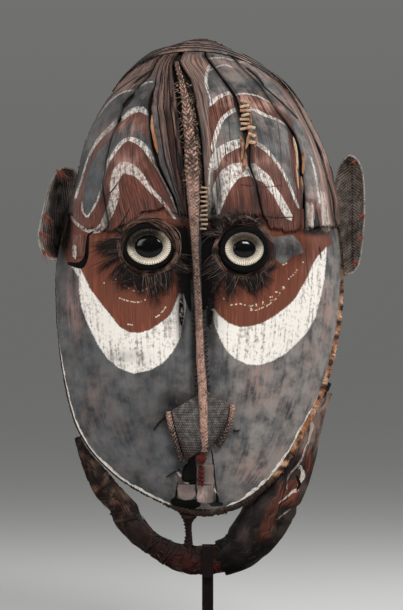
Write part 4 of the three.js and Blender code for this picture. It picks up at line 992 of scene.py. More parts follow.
# Face: the head's surface between the hoop's sides, with slow waves, and a torn hole under the nose
def buildFace():
    look = faceSheet
    v = np.linspace(look["foot"], look["top"], look["rows"])[:, None]
    s = evenly(look["columns"])[None, :]
    angle = mix(edgeAngle(v, -1), edgeAngle(v, 1), s)
    v = np.broadcast_to(v, angle.shape)
    flat = headAt(angle, v)
    lift = look["waves"] * (noiseAt(flat[..., 0] / 45 + 9, flat[..., 2] / 60, 1) - 0.5)
    outer, inner = lifted(angle, v, lift), lifted(angle, v, lift - head["sheet"])
    x, z, wide, high = look["hole"]
    px, _, pz = np.moveaxis(outer.copy(), -1, 0)
    turn = np.arctan2(pz - z, px - x)
    reach = np.hypot((px - x) / wide, (pz - z) / high)
    reach = reach / (1 + look["holeFray"] * (noiseAt(turn * 1.3 + 20, 0, 2) - 0.5) * 2)
    middle = (reach[1:, 1:] + reach[:-1, 1:] + reach[1:, :-1] + reach[:-1, :-1]) / 4
    keep = middle > 1
    near = np.pad(~keep, 1)    # the hole's edge is pulled to an even oval
    touched = near[1:, 1:] | near[:-1, 1:] | near[1:, :-1] | near[:-1, :-1]
    pull = np.where(touched & (reach > 0.4), 1 / np.maximum(reach, 0.4), 1.0)
    for grid in (outer, inner):
        grid[..., 0] = x + (grid[..., 0] - x) * pull
        grid[..., 2] = z + (grid[..., 2] - z) * pull
    fields = paintFields(outer)
    step = np.linalg.norm(np.diff(outer, axis=1), axis=-1)
    across = np.concatenate([np.zeros((look["rows"], 1)), np.cumsum(step, 1)], 1)
    rise = np.linalg.norm(outer - outer[:1], axis=-1)
    nearEdge = np.minimum(np.minimum(across, across[:, -1:] - across), rise)
    px, _, pz = np.moveaxis(outer, -1, 0)    # white line along the lower rim, broken under the nose
    line = np.where(px < -17, mix(9.0, 3.4, smooth(pz, 320, 420)) * (1 - smooth(pz, 520, 600)),
        mix(11.0, 6.0, smooth(pz, 340, 400)) * (1 - smooth(pz, 430, 500)))
    line *= (1 - smooth(-np.abs(px + 17), -56, -36)) * (0.5 + noiseAt(px / 9, pz / 9, 4))
    fields["paint"][..., 1] = np.maximum(fields["paint"][..., 1], line - nearEdge)
    makePiece("mask_face", shell(outer, inner, grainAt(angle, v), fields, keep), "face", "face_sheet")


# Lining: the same surface behind the forehead, lowered by the strips' thickness and slow waves
def buildLining():
    v = np.linspace(0.577, 0.984, 60)[:, None]
    angle = mix(edgeAngle(v, -1), edgeAngle(v, 1), evenly(80)[None, :])
    v = np.broadcast_to(v, angle.shape)
    wave = 0.8 * noiseAt(angle * 9, v * 14, 3)
    outer, inner = (lifted(angle, v, -head["lining"] - thick - wave) for thick in (0, 4))
    makePiece("mask_lining", shell(outer, inner, grainAt(angle, v)), "lining", "head_lining")


browLine = [(-240, 816), (-228, 788), (-173, 780), (-119, 811), (-75, 821), (-49, 808), (7, 798), (63, 808),
    (95, 806), (106, 786), (158, 780), (163, 787), (222, 793), (236, 796)]
ridgeLine = [(-6, 394, 5, 34), (-7, 431, 5.5, 36), (-9, 500, 6, 30), (-13, 560, 5.5, 26), (-16, 642, 4.5, 26),
    (-22, 747, 4.5, 28), (-25, 835, 8, 28), (-28, 888, 9, 28), (-31, 942, 7, 28), (-40, 1017, 6, 24),
    (-48, 1056, 4.5, 18), (-57, 1093, 3, 9)]
splits = {
    "left": [(-171, 794, 1), (-184, 867, 1), (-180, 908, 2), (-174, 940, 2.5), (-167, 960, 0.6), (-160, 974, 2),
    (-158, 982, 8), (-156, 990, 1.5), (-151, 1004, 2), (-147, 1013, 13), (-139, 1024, 12), (-131, 1034, 3),
    (-121, 1049, 3.5), (-106, 1064, 4), (-97, 1080, 2), (-90, 1098, 2)],
    "centre": [(-50, 808, 2), (-59, 840, 3), (-88, 899, 6), (-95, 936, 9), (-101, 980, 8), (-103, 1000, 6),
    (-99, 1030, 4), (-94, 1044, 1), (-80, 1100, 1)],
    "right": [(95, 800, 2), (83, 867, 2), (73, 898, 4), (71, 934, 8), (63, 971, 8), (52, 1008, 8), (47, 1027, 5),
    (-4, 1103, 3)], "temple": [(166, 780, 8), (166, 855, 6), (165, 890, 8), (162, 920, 10), (152, 958, 9),
    (136, 982, 5), (120, 1004, 1), (104, 1030, 1.5), (92, 1048, 3), (60, 1082, 2)],
    "edge": [(226, 790, 2), (220, 840, 3), (203, 922, 4), (177, 986, 3), (140, 1048, 3)],
    "ridge": [(x, z, 2 * half + (18 if 930 < z < 1060 else 7)) for x, z, half, _ in ridgeLine],
    "stitched": [(x, z, 2 * half + (26 if 930 < z < 1060 else 24 if 560 < z < 930 else 7)) for x, z, half,
    _ in ridgeLine],
}
browAngles, browHeights = placeOf(*np.array(browLine, float).T)


# The angle of one lip of a split at height v, with a torn edge; side -1 is its left lip
def lipOf(split, side):
    x, z, width = np.array(splits[split], float).T
    angles, heights = placeOf(x + side * width / 2, z)
    return lambda v: np.interp(v, heights, angles) + side * stripLook["torn"] * (noiseAt(v * 160, side, 4) - 0.35)


stripLook = {"top": 0.9, "cell": 2.1, "row": 3.0, "waves": 1.3, "curl": 2.6, "rag": 0.006, "torn": 0.0045}


# A strip between two lips: fibres run up it, its edges curl and its lower end is ragged
def stripPart(left, right, seed, ribs, own=None):
    look = stripLook
    width = 250 * float(np.mean(right(0.75) - left(0.75)))
    cols = max(int(width / look["cell"]), 8)
    rows = int(940 * (look["top"] - 0.59) / look["row"])
    s, t = np.meshgrid(evenly(cols), evenly(rows))
    rag = look["rag"] * (noiseAt(s * width / 4, seed, 5) - 0.5 + 0.7 * (noiseAt(s * width / 1.7, seed, 6) - 0.5))
    low = np.interp(mix(left(0.6), right(0.6), s), browAngles, browHeights) + rag
    v = mix(low, look["top"] + rag * 0.5, t)
    angle = mix(left(v), right(v), s)
    edge = (2 * np.abs(s - 0.5)) ** 7
    fibre = s * width + 60 * seed
    rise = v * 950
    ridged = ribs * (1.6 * np.abs(noiseAt(fibre / 3.4, rise / 120 + seed, 0) - 0.5) + 0.5
        * (noiseAt(fibre / 1.6, rise / 60, 2) - 0.5)) * 1.6
    waves = look["waves"] * (noiseAt(fibre / 26 + seed, rise / 70, 1) - 0.5)
    curl = look["curl"] * edge * noiseAt(rise / 28, 3 * seed + np.round(s), 2) ** 1.5
    end = 2.0 * (1 - smooth(t, 0, 0.05)) * noiseAt(s * width / 9, seed, 3)
    lift = mix(head["seat"], -head["sheet"], smooth(v, 0.615, 0.66)) + ridged + waves + curl + end
    outer, inner = lifted(angle, v, lift + head["sheet"]), lifted(angle, v, lift + np.minimum(0, -ridged))
    fields = paintFields(outer)
    paint, tint = fields["paint"], fields["tint"]
    tint[..., 1] = np.maximum(tint[..., 1], 0.6 * edge)
    if own:    # brown, red, pink and dark shares along the strip, from its lower end to its top
        paint[..., 2], ruddy, tint[..., 0], dark = (np.interp(v, np.linspace(0.6, 0.9, 4), row) for row in own)
        paint[..., 0] = 8 * (ruddy - 0.5)
        tint[..., 1] = np.maximum(0.6 * edge, dark * noiseAt(fibre / 3, v * 40, 3) * 1.6)
    return shell(outer, inner, stacked(fibre, rise), fields)


# Shares of brown, red, pink and dark along the narrow strips left of the ridge
centreStrips = [
    ([0.2, 0.1, 0.4, 0.9], [0, 0, 0, 0], [0, 0.2, 0.6, 0.5], [0.5, 0.2, 0.1, 0.3]),
    ([0.9, 0.6, 0.9, 1.0], [0, 0, 0, 0], [0.1, 0.5, 0.8, 0.6], [0.6, 0.3, 0.2, 0.3]),
    ([0.0, 0.2, 1.0, 1.0], [1, 1, 0.2, 0.6], [0, 0.1, 0.4, 0.9], [0.8, 0.5, 0.3, 0.2]),
    ([0.7, 0.4, 1.0, 1.0], [1, 0.6, 0, 0.3], [0, 0.3, 0.6, 0.6], [0.9, 0.7, 0.4, 0.4]),
]


# The line at this share between two lips, wandering by noise if it is inside
def lineBetween(left, right, share, wander, layer):
    return lambda v: mix(left(v), right(v), share) + wander * (noiseAt(v * 30, layer, 5) - 0.5)


# Each strip runs between two lips; the one left of the ridge is split again into narrow ones
def buildForehead():
    lips = {
        "left_outer": (lambda v: edgeAngle(v, -1), lipOf("left", -1)),
        "left_inner": (lipOf("left", 1), lipOf("centre", -1)), "left_centre": (lipOf("centre", 1), lipOf("ridge", -1)),
        "right_centre": (lipOf("stitched", 1), lipOf("right", -1)),
        "right_middle": (lipOf("right", 1), lipOf("temple", -1)),
        "right_narrow": (lipOf("temple", 1), lipOf("edge", -1)),
        "right_outer": (lipOf("edge", 1), lambda v: edgeAngle(v, 1)),
    }
    for seed, (name, ends) in enumerate(lips.items()):
        onRight = name.startswith("right")
        own = centreStrips if name == "left_centre" else [None]
        count, parts = len(own), []
        for k in range(count):
            low, high = k + (0.07 if k else 0), k + (0.95 if k < count - 1 else 1)
            low, high = (lineBetween(*ends, place / count, 0.01 * (0 < place < count), round(place))
                for place in (low, high))
            parts.append(stripPart(low, high, seed + 9 * k, 1.0 if onRight else 0.9 if own[k] else 0.5, own[k]))
        makePiece("spathe_" + name, parts, "foreheadRight" if onRight else "forehead", "forehead_" + name)


# Ribbons over the top, from the gather point down each side: inner and outer line as angle in degrees and v
crown = {
    "left": {"inner": [(-16, 0.898), (-36, 0.892), (-52, 0.872), (-62, 0.846), (-68, 0.812)],
    "outer": [(-4, 0.984), (-50, 0.976), (-78, 0.93), (-84, 0.86), (-86, 0.79)], "count": 8, "seed": 3,
    "grey": (0.05, 0.3), "pink": 0.35, "dark": 0.75},
    "middle": {"inner": [(-50, 0.887), (-26, 0.892), (-2, 0.896), (24, 0.887)],
    "outer": [(-64, 0.984), (-30, 0.984), (6, 0.984), (44, 0.984)], "count": 7, "seed": 5, "grey": (0.1, 0.4),
    "pink": 1.4, "dark": 0.12, "look": "foreheadRight"},
    "right": {"inner": [(-8, 0.9), (20, 0.898), (42, 0.878), (56, 0.85), (64, 0.815)],
    "outer": [(-4, 0.984), (50, 0.976), (78, 0.93), (84, 0.86), (86, 0.78)], "count": 9, "seed": 4,
    "grey": (0.5, 0.8), "pink": 0.9, "dark": 0.1, "look": "foreheadRight"},
}


# Ribbon k: mix of the inner and outer line at (k + 0.5 + s * width) / count, tapered to a torn tip
def buildCrown(name):
    look = crown[name]
    rng = np.random.default_rng(look["seed"])
    parts = []
    for k in range(look["count"]):
        s, t = np.meshgrid(np.linspace(-1, 1, 12), evenly(80))
        stop = 1.0 if name == "middle" else rng.uniform(0.55, 1.0)
        inner, outer = catmull(look["inner"], t * stop), catmull(look["outer"], t * stop)
        width = 0.66 * (1 - 0.75 * smooth(t, 0.6, 1.0)) + 0.3 * (noiseAt(t * 14, k, 5) - 0.5)
        share = np.clip((k + 0.5 + s * width) / look["count"], 0, 1)
        angle, v = np.moveaxis(mix(inner, outer, share[..., None]), -1, 0)
        angle = np.radians(angle)
        ribs = 0.9 * np.abs(noiseAt(s * 4 + 7 * k, t * 6, 0) - 0.5)
        lift = mix(0.8, mix(head["seat"], -head["sheet"], smooth(v, 0.908, 0.93)),
            smooth(v, 0.9, 0.93)) + 1.3 * (k % 3) * (1 - smooth(t, 0.8, 1.0)) + ribs
        top, under = lifted(angle, v, lift + 1.8), lifted(angle, v, lift - ribs)
        fields = paintFields(top)
        fields["paint"][..., 2] = smooth(noiseAt(k * 1.3 + t * 2, look["seed"], 6), *look["grey"])
        shade = look["dark"] * smooth(noiseAt(k * 1.7 + t * 3, 5, 4), 0.3, 0.7)
        fields["tint"] = stacked(noiseAt(k * 2.1 + t, 2.5, 7) * look["pink"],
            np.maximum(0.75 * np.abs(s) ** 6, shade), 0)
        parts.append(shell(top, under, np.stack([s * 7 + 31 * k, t * stop * 260], -1), fields))
    makePiece("crown_strips_" + name, parts, look.get("look", "forehead"), "crown_" + name)


# A small sheet over the face between x and z limits; its corners are rounded by corner
def patchPart(x, z, lift, thick, corner=0.0, rag=1.2, bare=0.0):
    s, t = np.meshgrid(evenly(24), evenly(40))
    frayS = rag * (noiseAt(t * 7, x[0], 4) - 0.5) * (2 * np.abs(s - 0.5)) ** 3 * 2
    px = mix(x[0], x[1], s) + frayS
    pz = mix(z[0] + corner * (2 * s - 1) ** 2 + rag * (noiseAt(s * 6, x[1], 5) - 0.5), z[1], t)
    top = mix(lift[0], lift[1], smooth(t, 0, 0.55)) + 0.5 * noiseAt(s * 4, t * 5, 1)
    outer, inner = over(px, pz, top), over(px, pz, top - thick)
    return shell(outer, inner, np.stack([px, pz], -1), paintFields(outer, bare))


# Patches at the temple, chin and behind the nose, each with its own tint and cracks
def buildFaceBits():
    makePiece("temple_patch", patchPart((-242, -220), (736, 776), (4, 4), 2.8), "forehead", "temple_tab")
    strip = patchPart((-18, 11), (300, 370), (8.6, 3.4), 2.2, corner=3, rag=2.4)
    x, _, z = strip["points"].T
    strip["fields"].update(
        tint=stacked(1.4 * np.exp(-((x + 9) / 9) ** 2 - ((z - 314) / 13) ** 2), 0, 0).clip(0, 1),
        paint=stacked(-30.0, -30.0, 0 * x), crack=strokeField(x, z, [([(-18, 334), (4, 334)], [1.6], 0.9)]))
    makePiece("chin_upright", strip, "tab", "chin_strip")
    flap = patchPart((-53, -22), (306, 334), (7.5, 3.4), 2.2, corner=8)
    flap["fields"]["tint"] *= 0
    flap["fields"]["crack"][:, 3] = 0
    makePiece("chin_lip", flap, "tab", "chin_flap")
    hollow = patchPart((-62, -6), (322, 388), (-6.5, -6.5), 3, bare=1.0)
    # Painted shade: the backing in the hollow behind the nose hole is darkened to near black, besides its own dark
    # colour
    hollow["fields"]["tint"][:, 1] = 1.0
    makePiece("nose_lining", hollow, "lining", "nose_backing")


buildFace()
buildLining()
buildForehead()
for name in crown:
    buildCrown(name)
buildFaceBits()
print("stage: head built")

# The ridge, stitches and lashings

ridge = {"steps": 640, "round": 36, "pitch": 5.8, "braid": 9.0, "plait": 2.5, "wide": 1.26, "section": [
    (-0.75, 0.03), (-0.98, 0.3), (-1, 0.6), (-0.72, 0.88), (0, 1), (0.72, 0.88), (1, 0.6), (0.98, 0.3), (0.75, 0.03)]}


# Ridge: a fin whose section is a rounded wedge; the plait is a row of chevrons, |sin| of height and side
def buildRidge():
    look = ridge
    t = evenly(look["steps"])
    x, z, half, tall = rowAt(ridgeLine, t).T
    half = half * np.interp(z, [900, 1050], [look["wide"], 0.9])
    around = evenly(look["round"])
    side, rise = catmull(look["section"], around).T
    strands = np.cumsum(np.gradient(z) / mix(look["pitch"], look["braid"], smooth(z, 840, 890)))
    phase = strands[:, None] - 1.1 * np.abs(side)[None] * np.sign(rise - 0.5)[None] \
        + 0.5 * (side[None] > 0)
    worn = 0.25 + 0.75 * smooth(noiseAt(z[:, None] / 60, 0 * around[None], 5), 0.2, 0.6)
    worn = np.maximum(worn, 1.5 * smooth(z, 850, 900)[:, None])
    worn = worn * np.where((z > 437) & (z < 530), 0.3, 1.0)[:, None]
    bump = look["plait"] * worn * (np.abs(np.sin(np.pi * phase)) ** 0.6 - 0.5) * smooth(rise, 0.1, 0.5)[None]
    groove = 1.2 * np.exp(-(side / 0.14) ** 2)[None] * (rise > 0.7)[None] * worn
    wear = 0.9 * (noiseAt(z[:, None] / 5, around[None] * 9, 3) - 0.5)
    wide = (half[:, None] + 0.7 * bump + wear) * side[None]
    lift = np.maximum(tall[:, None] * rise[None] + bump * rise[None] - groove + wear, 1.0)
    base = over(x, z, 0)
    px, pz = x[:, None] + wide, np.broadcast_to(z[:, None], wide.shape)
    surf = over(px, pz, lift)
    surf[..., 1] = np.where(rise[None] > 0.5, base[:, None, 1] - lift, surf[..., 1])
    pale = np.interp(z, [390, 440, 530, 640, 700, 860, 1000, 1090], [0.35, 1, 0.85, 0.4, 0.1, 0.6, 1.2, 1.0])
    # Painted shade: the fin's sides darken towards the face, beside the ridge; the dark gaps and flecks in the upper
    # plait are its own
    dark = 0.85 * (1 - smooth(rise, 0.3, 0.75))[None] + np.interp(z, [830, 900], [0.3, 0.7])[:,
        None] * smooth(noiseAt(z[:, None] / 7, around[None] * 6, 6), 0.62, 0.72)
    high = smooth(z, 840, 890)[:, None]
    gaps = 0.95 * high * smooth(0.66 - np.abs(np.sin(np.pi * phase)), 0, 0.35)
    gaps = np.maximum(gaps, 0.85 * high * smooth(noiseAt(z[:, None] / 2.6, around[None] * 17, 1), 0.48, 0.62))
    fields = {"tint": stacked(pale[:, None], np.clip(np.maximum(dark, gaps), 0, 1), 0 * wide)}
    uv = stacked(look["pitch"] * strands[:, None], 0.25 + 0.5 * np.append(side, side[0])[None])
    makePiece("plaited_ridge", surface(surf, uv, False, fields), "plait", "centre_ridge")


# Bars across a line: short rods at even steps, each a little askew
def barPaths(line, bars, half, lift, tilt, seed):
    rng = np.random.default_rng(seed)
    middle = rowAt(line, evenly(bars))
    t = np.linspace(-1, 1, 9)
    reach = half * rng.uniform(0.8, 1.12, bars)
    slant = rng.uniform(-tilt, tilt, bars)
    px = middle[:, :1] + reach[:, None] * t + rng.uniform(-1, 1, bars)[:, None]
    pz = middle[:, 1:2] + slant[:, None] * t
    return over(px, pz, lift + (1 - t ** 2)[None])


# Sliver: a flat split of cane along a line, thin at both ends, as w * (1 - (2t - 1) ^ 4)
def sliver(points, width, lift, thick=0.35):
    t = evenly(26)
    x, z = catmull(points, t).T
    ragged = 1 + 0.35 * (noiseAt(t * 9, points[0][0], 3) - 0.5)
    return tubes(over(x, z, lift + 0.8 * np.sin(np.pi * t)), width / 2 * (1 - 0.8 * (2 * t - 1) ** 4) * ragged, 10,
        thick)


# Rungs and frayed ends by the ridge, then the lashings and canes that show in the splits
def buildLashings():
    rungs = tubes(barPaths([(-7, 784), (-7, 856)], 10, 6.5, 7.0, 1.2, 3), 1.9, 8)
    rng = np.random.default_rng(8)
    count = 130                            # frayed ends of the plait, on both sides of the ridge
    z = rng.uniform(850, 1050, count)[:, None]
    ridgeX = np.interp(z, [p[1] for p in ridgeLine], [p[0] for p in ridgeLine])
    side = rng.choice([-1, 1], (count, 1), p=[0.35, 0.65])
    s = evenly(7)[None]
    reach = rng.uniform(4, 13, (count, 1))
    px = ridgeX + side * (7 + reach * s ** 0.8)
    pz = z + rng.uniform(-9, 5, (count, 1)) * s + 2.5 * np.sin(3 * s + rng.uniform(0, 6, (count, 1)))
    frays = tubes(over(px, pz, 9 - 4 * s), 0.65 * (1 - 0.5 * s), 4)
    stitches = [tubes(barPaths([(x0, 500), (x1, 640)], 17, 2.6, 3.0, 1.0, seed), 1.3, 6) for x0, x1, seed in (
        (-19, -26, 11), (2, -6, 12))]
    black = lambda x, z: (0, 1)
    makePiece("ridge_rungs", [rungs, tinted(frays, lambda x, z: (0,
        0.75 * smooth(noiseAt(x / 3, z / 3, 2), 0.3, 0.6)))] + [tinted(part, black) for part in stitches], "rung",
        "ridge_stitches")
    pale = lambda amount: lambda x, z: (amount, 0)
    dull = lambda x, z: (0.15, smooth(noiseAt(x / 5, z / 6, 4), 0.5, 0.8) * 0.7)
    bars = tubes(barPaths([(66, 1014), (66, 964)], 7, 8.5, 4.5, 3.0, 4), 2.6, 8, 0.4)
    white = tubes(barPaths([(78, 966), (80, 938)], 3, 6.0, 4.5, 2.5, 5), 3.0, 8, 0.35)
    slivers = [sliver([(76, 993), (76, 968), (72, 945), (67, 926)], 6.5, 4.2),
        sliver([(58, 950), (61, 930), (60, 905)], 5, 4), sliver([(84, 958), (86, 944), (83, 930)], 5, 4),
        sliver([(66, 920), (65, 900), (62, 884)], 7, 3.6)]
    makePiece("lashing_upper", [tinted(bars, pale(0.75)), tinted(white, pale(1.0))]
        + [tinted(part, dull) for part in slivers], "cane", "split_lashing_upper")
    parts = [sliver([(153, 952), (158, 925), (160, 893)], 4.5, 4.5),
        sliver([(170, 925), (171, 905), (169, 884)], 6, 4.5), sliver([(157, 900), (160, 872), (160, 846)], 3.5, 4.5),
        sliver([(166, 880), (168, 860), (166, 842)], 4, 4)]
    shade = [pale(0.85), dull, pale(0.6), dull]
    makePiece("lashing_temple", [tinted(part, rule) for part, rule in zip(parts, shade)], "cane",
        "split_lashing_temple")
    cane = sliver([(-88, 918), (-93, 940), (-98, 965), (-99, 990)], 6.4, 0.8, 0.7)
    makePiece("cane_in_split", tinted(cane, lambda x, z: (0.35 * smooth(z, 940, 970), 0)), "cane", "split_cane_left")


buildRidge()
buildLashings()
print("stage: ridge and lashings built")

# Eyes

eyes = {
    "left": {"x": -103, "z": 753, "size": (92, 84), "shell": (76, 62), "pupil": (48, 38)},
    "right": {"x": 64, "z": 749, "size": (90, 84), "shell": (66, 57), "pupil": (39, 30)},
}
eyeLook = {"height": 17, "turn": 0.5, "well": 8, "teeth": 54, "lumps": 2.2, "twine": 9,
    "featherShadow": {"left": 118, "right": 70}, "arches": {"left": [((-142, 790), (-112, 806), (-58, 800), 6),
    ((-108, 800), (-80, 790), (-50, 748), 4), ((-150, 782), (-130, 797), (-104, 797), 4)],
    "right": [((34, 792), (66, 804), (100, 786), 4)]}}


# Rings of an oval eye: sizes and depths go from ring to ring along a Catmull-Rom curve
def buildEye(side):
    look, eye = eyeLook, eyes[side]
    slope = look["turn"] * float(over(eye["x"] + 20, eye["z"], 0)[1] - over(eye["x"] - 20, eye["z"], 0)[1]) / 40
    front = float(over(eye["x"], eye["z"], look["height"])[1])
    well = look["well"]

    # A surface through the keys, each an oval ring, and the angles round it
    def rings(keys, cols, rows):    # each key: size, how much to add to it, lift over the face or None, depth
        a = circle(cols)
        made = []
        for size, extra, lift, depth in keys:
            x = eye["x"] + (size[0] + extra) / 2 * np.cos(a)
            z = eye["z"] + (size[1] + extra) / 2 * np.sin(a)
            y = over(x, z, lift)[:, 1] if lift is not None else front + slope * (x - eye["x"]) + depth
            made.append(np.stack([x, y, z], -1))
        return catmull(made, evenly(rows)), a

    full, white, pupil = eye["size"], eye["shell"], eye["pupil"]
    surf, a = rings([(full, -46, 1.5, 0), (full, -2, 1.5, 0), (full, 0, 5, 0), (full, -4, None, 2),
        (full, -9, None, 0), (white, 5, None, -0.5), (white, 1.5, None, 1), (white, 1, None, well)], 120, 44)
    lump = look["lumps"] * (noiseAt(surf[..., 0] / 4, surf[..., 2] / 4, 2) - 0.5)
    share = evenly(44)[:, None]
    surf[..., 1] -= lump * smooth(share, 0.25, 0.4) * (1 - smooth(share, 0.8, 0.95))
    makePiece("paste_" + side, surface(surf), "paste", "eye_paste_" + side)

    rows, cols = 30, look["teeth"] * 8
    surf, a = rings([(white, 0, None, well - 0.3), (white, 1.5, None, 1), (white, 1, None, -2),
        (white, -4, None, -2.6), (white, -9, None, -0.5), (pupil, 9, None, 4.6), (pupil, 2, None, 6.6),
        (pupil, 1, None, well - 0.3)], cols, rows)
    share = evenly(rows)[:, None]
    tooth = np.abs(np.sin(look["teeth"] / 2 * a + 0.8 * noiseAt(a * 5, eye["x"], 2)))[None] ** 0.7
    edge = np.exp(-((share - 0.34) / 0.11) ** 2) + 0.35
    surf[..., 1] += 1.5 * edge * (1 - tooth) * smooth(share, 0.12, 0.25)
    inward = np.stack([eye["x"] - surf[..., 0], 0 * surf[..., 1], eye["z"] - surf[..., 2]], -1)
    surf += unit(inward) * (2.6 * (1 - tooth) * np.exp(-((share - 0.3) / 0.11) ** 2))[..., None]
    turn = np.arctan2(surf[..., 2] - eye["z"], surf[..., 0] - eye["x"])
    # Painted shade on the shell: darker towards its top and towards the pupil, partly real stain; and a painted shadow
    # of the feathers on one side
    above = smooth((surf[..., 2] - eye["z"]) / white[1], 0.02, 0.3)
    deep = smooth(share, 0.55, 0.85)
    worn = 0.9 * smooth(np.cos(turn - math.radians(205)), 0.55, 0.9) if side == "left" else 0.15 + 0 * turn
    stain = np.clip(0.85 * above + 0.75 * deep + 0.5 * above * deep, 0, 1)
    featherShadow = smooth(np.cos(turn - math.radians(look["featherShadow"][side])), 0.1, 0.6) * (0.97 if side == "left" else 0.55)
    fields = {"tint": stacked(worn, stain, featherShadow)}
    uv = stacked(np.linspace(0, look["teeth"], cols + 1)[None], evenly(rows + 1)[:, None])
    makePiece("shell_ring_" + side, surface(surf, uv, True, fields), "shell", "eye_shell_" + side)

    surf, a = rings([(pupil, 0, None, well - 0.2), (pupil, 0.4, None, 7.2), (pupil, -1, None, 6.4),
        (pupil, -5, None, 5.2), (pupil, -13, None, 4.0), (pupil, -22, None, 3.4), (pupil, -27, None, 3.3)], 72, 24)
    makePiece("pupil_" + side, surface(surf), "pupil", "eye_pupil_" + side)

    # Twine: thin strands that wander in and out of each other round the paste, some arching over the left eye
    count, steps = look["twine"], 150
    rng = np.random.default_rng(20 + len(side))
    a = circle(steps)
    k = np.arange(count)[:, None]
    phase = rng.uniform(0, 6.3, (count, 3))
    out = 2.6 + 8.0 * k / count + 2.2 * np.sin(3 * a + phase[:, :1]) + 1.1 * np.sin(7 * a + phase[:, 1:2])
    lift = 5.6 + 1.4 * np.sin(5 * a + phase[:, 2:3]) + 1.1 * np.sin(2 * a + phase[:, :1])
    path = over(eye["x"] + (full[0] / 2 + out) * np.cos(a), eye["z"] + (full[1] / 2 + out) * np.sin(a), lift)
    cord = tubes(path, 0.52, 4, closed=True, bump=lambda length, turn: 0.16 * np.sin(length * 1.9 + turn * 2))
    parts = [tinted(cord, lambda x, z: (0.5 * noiseAt(x / 9, z / 9, 2),
        0.85 * smooth(noiseAt(x / 12, z / 12, 3), 0.4, 0.8)))]
    for root, top, tip, strands in look["arches"][side]:
        rng.random((strands, 1))    # kept, so that later draws stay the same
        t = np.broadcast_to(evenly(24), (strands, 24))
        bend = catmull([root, top, tip], t)
        spread = rng.normal(0, 1, (strands, 2, 1)) * np.array([2.2, 2.6])[:, None]
        x = bend[..., 0] + spread[:, 0] * (0.4 + t)
        z = bend[..., 1] + spread[:, 1] * np.sin(np.pi * np.clip(t, 0.1, 0.9))
        inside = np.hypot((x - eye["x"]) / (full[0] / 2), (z - eye["z"]) / (full[1] / 2)) < 1.02
        high = np.where(inside, look["height"] + 3.5, 7 + 4 * np.sin(np.pi * t))
        arch = tubes(over(x, z, high), 0.55 * (1 - 0.6 * t), 4)
        parts.append(tinted(arch, lambda x, z: (0.45 * noiseAt(x / 8, z / 8, 1), 0)))
    makePiece("twine_" + side, parts, "strand", "eye_cord_" + side)


# Hair-like feathers: angles in degrees and lengths in mm of the tufts round an eye
fans = {
    "left": {"eye": "left", "span": (148, 338), "length": (28, 58), "tufts": 26, "lift": 5, "seed": 31},
    "right": {"eye": "right", "span": (196, 318), "length": (24, 50), "tufts": 20, "lift": 5, "seed": 32},
    "brow": {"eye": "right", "span": (66, 156), "length": (16, 40), "tufts": 13, "lift": 8, "seed": 33},
}


# Strand: starts round the eye at an angle, heads out with the tuft's bend and falls by t squared
def buildFeathers(name):
    look = fans[name]
    eye = eyes[look["eye"]]
    rng = np.random.default_rng(look["seed"])
    tufts, each, steps = look["tufts"], 26, 6
    count = tufts * each
    spread = np.linspace(look["span"][0], look["span"][1], tufts) + rng.uniform(-4, 4, tufts)
    tuftAt = np.repeat(np.radians(spread), each)[:, None]
    turn = np.repeat(rng.normal(0.1, 0.42, tufts), each)[:, None]
    start = tuftAt + rng.normal(0, 0.05, (count, 1))
    size = np.repeat(rng.uniform(*look["length"], tufts), each)[:, None]
    length = size * rng.uniform(0.5, 1.05, (count, 1))
    t = evenly(steps)[None]
    heading = tuftAt + turn * (0.4 + 0.8 * t) + rng.normal(0, 0.13, (count, 1)) * (0.25 + t)
    begin = rng.uniform(3, 10, (count, 1))
    x = eye["x"] + (eye["size"][0] / 2 + begin) * np.cos(start) + length * t * np.cos(heading)
    z = eye["z"] + (eye["size"][1] / 2 + begin) * np.sin(start) + length * t * np.sin(heading) - 4 * t ** 2
    lift = look["lift"] * (0.3 + 1.1 * rng.random((count, 1))) + 6 * t * (1 - t) * rng.random((count, 1)) - 1.5 * t
    strands = tubes(over(x, z, np.maximum(lift, 1.2)), 0.62 * (1 - 0.8 * t ** 1.5), 3)
    pale = np.where(rng.random(count) < 0.2, rng.uniform(0.4, 0.9, count), 0.0)
    shade = np.repeat(pale, steps * 3)
    strands["fields"] = {"tint": stacked(np.concatenate([shade, pale, pale]), 0, 0)}
    makePiece("feather_fan_" + name, strands, "feather", "feathers_" + name)


for side in eyes:
    buildEye(side)
for name in fans:
    buildFeathers(name)
print("stage: eyes built")

# Nose

nose = {
    "left": {"root": [(-17, 496), (-18, 470), (-17, 440), (-16, 415), (-15, 398)],
    "edge": [(-63, 466), (-60, 447), (-52, 418), (-44, 391), (-39, 377)], "turn": -1},
    "right": {"root": [(0, 502), (0, 475), (1, 445), (2, 415), (4, 398)],
    "edge": [(38, 478), (35, 455), (27, 432), (18, 414), (11, 405)], "turn": 1}, "rise": [8, 20, 28, 32, 33],
    "loop": 4.4,
}


